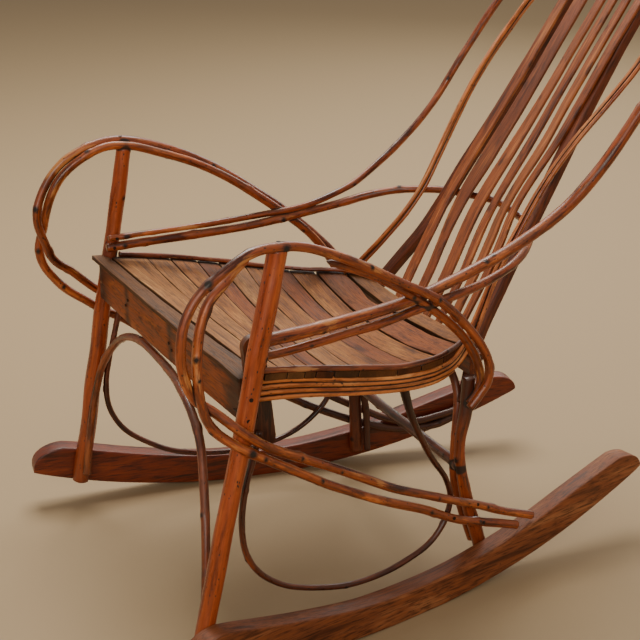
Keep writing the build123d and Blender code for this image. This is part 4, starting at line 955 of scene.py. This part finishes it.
SLAT_STAIN = [0.30, 0.00, 0.00, 0.08, 0.22, 0.04, 0.10, 0.30, 0.14, 0.32, 0.34]
for i, (front_edge, rear_edge) in enumerate(slat_edges()):
    g = rng(500 + i)
    y0, y1 = front_edge[0], rear_edge[0]
    depth = math.hypot(y1 - y0, table(SLAT_TOPS, y1) - table(SLAT_TOPS, y0))
    thick = SLAT_T if i else 6.5
    tilt = g.uniform(-0.010, 0.010)
    lift = g.uniform(-0.4, 0.4)
    rings, cos, dirt_and_shade, tone = [], [], [], []
    xs = np.linspace(-1, 1, 81)
    gd = rng(540 + i)
    fe = ripple((xs + 1) * 280, gd, 70, 0.55)
    re = ripple((xs + 1) * 280, gd, 70, 0.55)
    if i == 9:
        re = re - 5.5 * np.exp(-((xs + 0.42) / 0.17) ** 2) - 1.8 * np.exp(-((xs - 0.55) / 0.16) ** 2)
    open_seam = np.exp(-((xs - 0.1) / 0.75) ** 4)
    if i == 0:
        re = re - 3.0 * open_seam
    if i == 1:
        fe = fe + 2.2 * open_seam
    lump = ripple((xs + 1) * 280, gd, 60, 0.35)
    for k, t in enumerate(xs):
        sec = rounded(depth, thick, 1.2, across=8, tall=3)
        (ya, za), (yb, zb) = edge_point(front_edge, t, i), edge_point(rear_edge, t, i)
        u = unit([0, yb - ya, zb - za])
        v = np.array([0, -u[2], u[1]])
        pts = []
        for a, b in sec:
            f = (a + depth / 2) / depth
            aa = (fe[k] if a < 0 else re[k]) * abs(a) / (depth / 2)
            y = ya + (yb - ya) * f + u[1] * aa
            z = za + (zb - za) * f + u[2] * aa
            if i:
                x = t * (table(SEAT_HALF, y) + 1.2)
            else:
                x = -(282 - 6 * f) + (t + 1) / 2 * (282 - 6 * f + 266)
            crown = 0.45 * (1 - (2 * f - 1) ** 2)
            up = b - thick / 2 + lift + lump[k] + (crown if b > 0 else 0) + tilt * a
            pts.append((x, y + v[1] * up, z + v[2] * up))
        rings.append(pts)
        cos.append([((t + 1) * 260, a, b) for a, b in sec])
        # Painted shade: darker along the edges at the seams, and at the ends under the rim and the side twigs.
        edge = np.clip((np.abs(sec[:, 0]) - depth / 2 + 1.8) / 1.8, 0, 1) * (0.65 if i else 0.4)
        under = 0.9 if abs(t) > 0.955 else (0.45 if abs(t) > 0.93 else 0.0)
        dirt_and_shade.append(np.maximum(edge, under if i else (0.5 if t > 0.97 else 0.0)))
        # The tone also darkens towards the far end of each slat, and on the first slat towards its near end.
        tone.append(np.full(len(sec), SLAT_STAIN[i] + (0.35 * np.clip((t - 0.75) / 0.25, 0, 1) if i == 0 else 0.22 * np.clip((-t - 0.45) / 0.5, 0, 1) + 0.10 * np.clip((t - 0.7) / 0.3, 0, 1))))
    rings = np.array(rings)
    cos = np.array(cos) * MM
    cos[:, :, 0] += g.uniform(0, 40)
    n, m = rings.shape[:2]
    rings, at = with_ends(rings, {"tw": cos, "knot": np.zeros((n, m)), "cut": np.zeros((n, m)), "grime": np.array(dirt_and_shade), "stain": np.array(tone)}, 0.7)
    shade = g.uniform(0.05, 0.4)
    for end in (0, 1, -2, -1):
        at["grime"][end] = shade
        at["stain"][end] = shade + 0.25
    vv, ff, aa = rings_to_mesh(rings, at)
    name = f"seat_strip_{i + 1:02d}"
    put(name, mesh_from(name, to_frame(vv), ff, aa), f"seat_slat_{i + 1:02d}", M_FIRST if i == 0 else (M_SEAT_RED if i in (4, 7, 9) else (M_SEAT_PALE if i in (1, 2, 5) else M_SEAT)))

# rails
ends = np.linspace(-262, 262, 60)
stations = []
for x in ends:
    low = np.interp(abs(x), [0, 150, 262], [351.5, 353, 356])
    stations.append(((x, -278, (412.4 + low) / 2), np.array([0, 1.0, 0]), np.array([0, 0, 1.0]), 23.6, 412.4 - low))
rings, at = bar(stations, 601, r=2.2, across=3, tall=8, wave=0.2, edge=0.3)
# Darker towards both ends beside the posts: partly stain, partly painted shade in the corners. The spots at the nails
# are stain.
at["stain"][:] = np.interp(ends, [-262, -235, -200, 190, 225, 262], [0.9, 0.5, 0.0, 0.0, 0.6, 1.0])[:, None]
for spot_x in (-146, 23):
    at["stain"][:] = np.maximum(at["stain"], 0.7 * np.exp(-((ends - spot_x) / 12) ** 2)[:, None])
rings, at = with_ends(rings, at, 0.8)
v, f, a = rings_to_mesh(rings, at)
put("front_rail_board", mesh_from("front_rail_board", to_frame(v), f, a), "front_seat_rail", M_RAIL)

# -------------------------------------------------------------------- back
def stile_y(z):
    return 147 + (z - 356) * BACK_SLOPE


def back_point(x, z, offset):
    up = unit([0, BACK_SLOPE, 1])
    square = np.cross([1, 0, 0], up)
    return np.array([x, stile_y(z), z]) + square * offset


UP = unit([0, BACK_SLOPE, 1])
SQUARE = np.cross([1.0, 0, 0], UP)


def back_bar(name, node, mat, stations, thick, offset, seed, r, across, wave=0.15):
    """stations are (x, z, width); the bar follows them on the slope."""
    line = catmull([(x, z, w) for x, z, w in stations], 12)
    keep = [line[0]]
    for p in line[1:]:
        if p[1] - keep[-1][1] > 5:
            keep.append(p)
    line = np.array(keep)
    g = rng(seed)
    pts = np.array([back_point(x, z, offset) for x, z, w in line])
    d = np.gradient(pts, axis=0)
    d /= np.linalg.norm(d, axis=1)[:, None]
    s = np.concatenate([[0], np.cumsum(np.linalg.norm(np.diff(pts, axis=0), axis=1))])
    bow = ripple(s, g, 130, 0.5)
    out = []
    for i, (x, z, w) in enumerate(line):
        side = unit(np.cross(d[i], SQUARE))
        out.append((pts[i] + SQUARE * bow[i], side if side[0] > 0 else -side, SQUARE, w, thick))
    rings, at = with_ends(*bar(out, seed + 1, r=r, across=across, tall=2, wave=wave, edge=0.5), 0.6)
    v, f, a = rings_to_mesh(rings, at)
    return put(name, mesh_from(name, to_frame(v), f, a), node, mat)


for side, word in ((1, "left"), (-1, "right")):
    if side > 0:
        rows = [(189, 276, 16), (166, 312, 18), (143, 346, 21), (127, 424, 21), (106, 566, 21), (92, 660, 21), (84, 760, 21), (80, 892, 20)]
    else:
        rows = [(186, 294, 16), (166, 312, 18), (146, 346, 21), (130, 385, 21), (112, 434, 21), (105, 480, 21), (101, 545, 21), (95, 610, 21), (88, 700, 21), (80, 884, 20)]
    back_bar("stile_bar_" + word, "back_stile_" + word, M_STILE, [(side * x, z, w) for x, z, w in rows], STILE_T, 0.0, 620 + side, 2.4, 4)

slat_offset = STILE_T / 2 + BACK_SLAT_T / 2 + 0.2
back_slats = [
    [(-60, 327, 17), (-72, 381, 20), (-80, 430, 22), (-87, 490, 21), (-87, 561, 23), (-82, 650, 22), (-80, 800, 20), (-79, 986, 18)],
    [(-20, 327, 17), (-29, 390, 19), (-38, 425, 20), (-46, 460, 24), (-50, 500, 29), (-46, 565, 33), (-43, 633, 30), (-41, 800, 27), (-39, 993, 24)],
    [(22, 327, 18), (11, 405, 24), (3, 440, 25), (-3, 470, 26), (-6, 507, 26), (-1, 580, 23), (2, 642, 19), (4, 800, 18), (6, 996, 17)],
    [(58, 327, 15), (45, 415, 17), (38, 443, 18), (31, 475, 17), (27, 514, 16), (29, 586, 17), (29, 647, 17), (31, 800, 17), (32, 995, 16)],
    [(86, 327, 15), (71, 430, 17), (64, 465, 18), (57, 492, 17), (55, 525, 17), (60, 594, 18), (57, 652, 18), (59, 800, 17), (61, 993, 16)],
    [(110, 327, 14), (97, 430, 15), (88, 468, 15), (79, 500, 14), (77, 530, 14), (85, 599, 15), (85, 658, 16), (87, 800, 16), (89, 988, 15)],
]
for i, rows in enumerate(back_slats, start=1):
    rows = [(x, z, w - 0.6) for x, z, w in rows[:-1]] + [(rows[-1][0], rows[-1][1] - 2.5, rows[-1][2] - 0.6)]
    back_bar(f"back_strip_{i}", f"back_slat_{i}", M_BACK, rows, BACK_SLAT_T, slat_offset, 640 + 3 * i, 1.2, 5)

# ------------------------------------------------- pieces kept from the CAD
def cad_wood(node, mat, along):
    """A CAD node keeps its shape and gets grain along one of its axes."""
    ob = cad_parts[node]
    me = ob.data
    co = np.zeros(len(me.vertices) * 3, np.float32)
    me.vertices.foreach_get("co", co)
    co = co.reshape(-1, 3)
    order = {"x": (0, 1, 2), "z": (2, 0, 1), "y": (1, 0, 2)}[along]
    a = me.attributes.new("tw", "FLOAT_VECTOR", "POINT")
    a.data.foreach_set("vector", np.ascontiguousarray(co[:, order]).ravel())
    for key in ("knot", "cut"):
        a = me.attributes.new(key, "FLOAT", "POINT")
        a.data.foreach_set("value", np.zeros(len(me.vertices), np.float32))
    me.materials.clear()
    me.materials.append(mat)
    return ob


cad_wood("rear_seat_rail", M_STILE, "x")
cad_wood("corner_cleat", M_CLEAT, "z")
for node in ("seat_nails", "frame_nails", "back_nails"):
    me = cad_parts[node].data
    me.materials.clear()
    me.materials.append(M_IRON)

# ------------------------------------------------------- floor, light, camera
bpy.ops.mesh.primitive_plane_add(size=14, location=(0, 2.0, 0))
floor = bpy.context.object
floor.name = "floor"
fm = Nodes("floor_pale")
fm.feed(fm.bsdf, "Base Color", (0.42, 0.305, 0.172, 1))
fm.feed(fm.bsdf, "Roughness", 0.75)
floor.data.materials.append(fm.mat)

world = bpy.data.worlds.new("studio")
bpy.context.scene.world = world
world.use_nodes = True
bg = world.node_tree.nodes["Background"]
bg.inputs["Color"].default_value = (1.0, 0.90, 0.78, 1)
bg.inputs["Strength"].default_value = 0.36


def area(name, loc, target, size, power, color=(1, 1, 1)):
    li = bpy.data.lights.new(name, "AREA")
    li.shape = "RECTANGLE"
    li.size, li.size_y = size
    li.energy = power
    li.color = color
    ob = bpy.data.objects.new(name, li)
    bpy.context.scene.collection.objects.link(ob)
    ob.location = loc
    ob.rotation_euler = (Vector(target) - Vector(loc)).to_track_quat("-Z", "Y").to_euler()
    return ob


area("key", (-1.5, 0.3, 3.0), (0, 0, 0.3), (1.9, 1.9), 112, (1.0, 0.94, 0.86))
area("fill", (2.8, -2.0, 1.9), (0, 0, 0.4), (2.0, 1.6), 44, (1.0, 0.90, 0.78))
area("rim", (-2.4, 2.4, 1.8), (0, 0, 0.5), (1.6, 1.6), 26, (1.0, 0.97, 0.92))

cam_data = bpy.data.cameras.new("view_camera")
cam = bpy.data.objects.new("view_camera", cam_data)
bpy.context.scene.collection.objects.link(cam)
az, pitch_a, roll = math.radians(63.09), math.radians(21.19), math.radians(0.46)
fw = np.array([-math.sin(az) * math.cos(pitch_a), math.cos(az) * math.cos(pitch_a), -math.sin(pitch_a)])
right = np.array([math.cos(az), math.sin(az), 0.0])
down = np.cross(fw, right)
r2 = math.cos(roll) * right + math.sin(roll) * down
d2 = -math.sin(roll) * right + math.cos(roll) * down
cam.matrix_world = Matrix((
    (r2[0], -d2[0], -fw[0], 2.023),
    (r2[1], -d2[1], -fw[1], -1.069 - DATUM_Y * MM),
    (r2[2], -d2[2], -fw[2], 1.243),
    (0, 0, 0, 1),
))
cam_data.sensor_fit = "HORIZONTAL"
cam_data.sensor_width = 36.0
cam_data.lens = 1643.3 * 36.0 / 640.0
cam_data.clip_start = 0.05
cam_data.clip_end = 60
bpy.context.scene.camera = cam

bpy.context.view_layer.update()
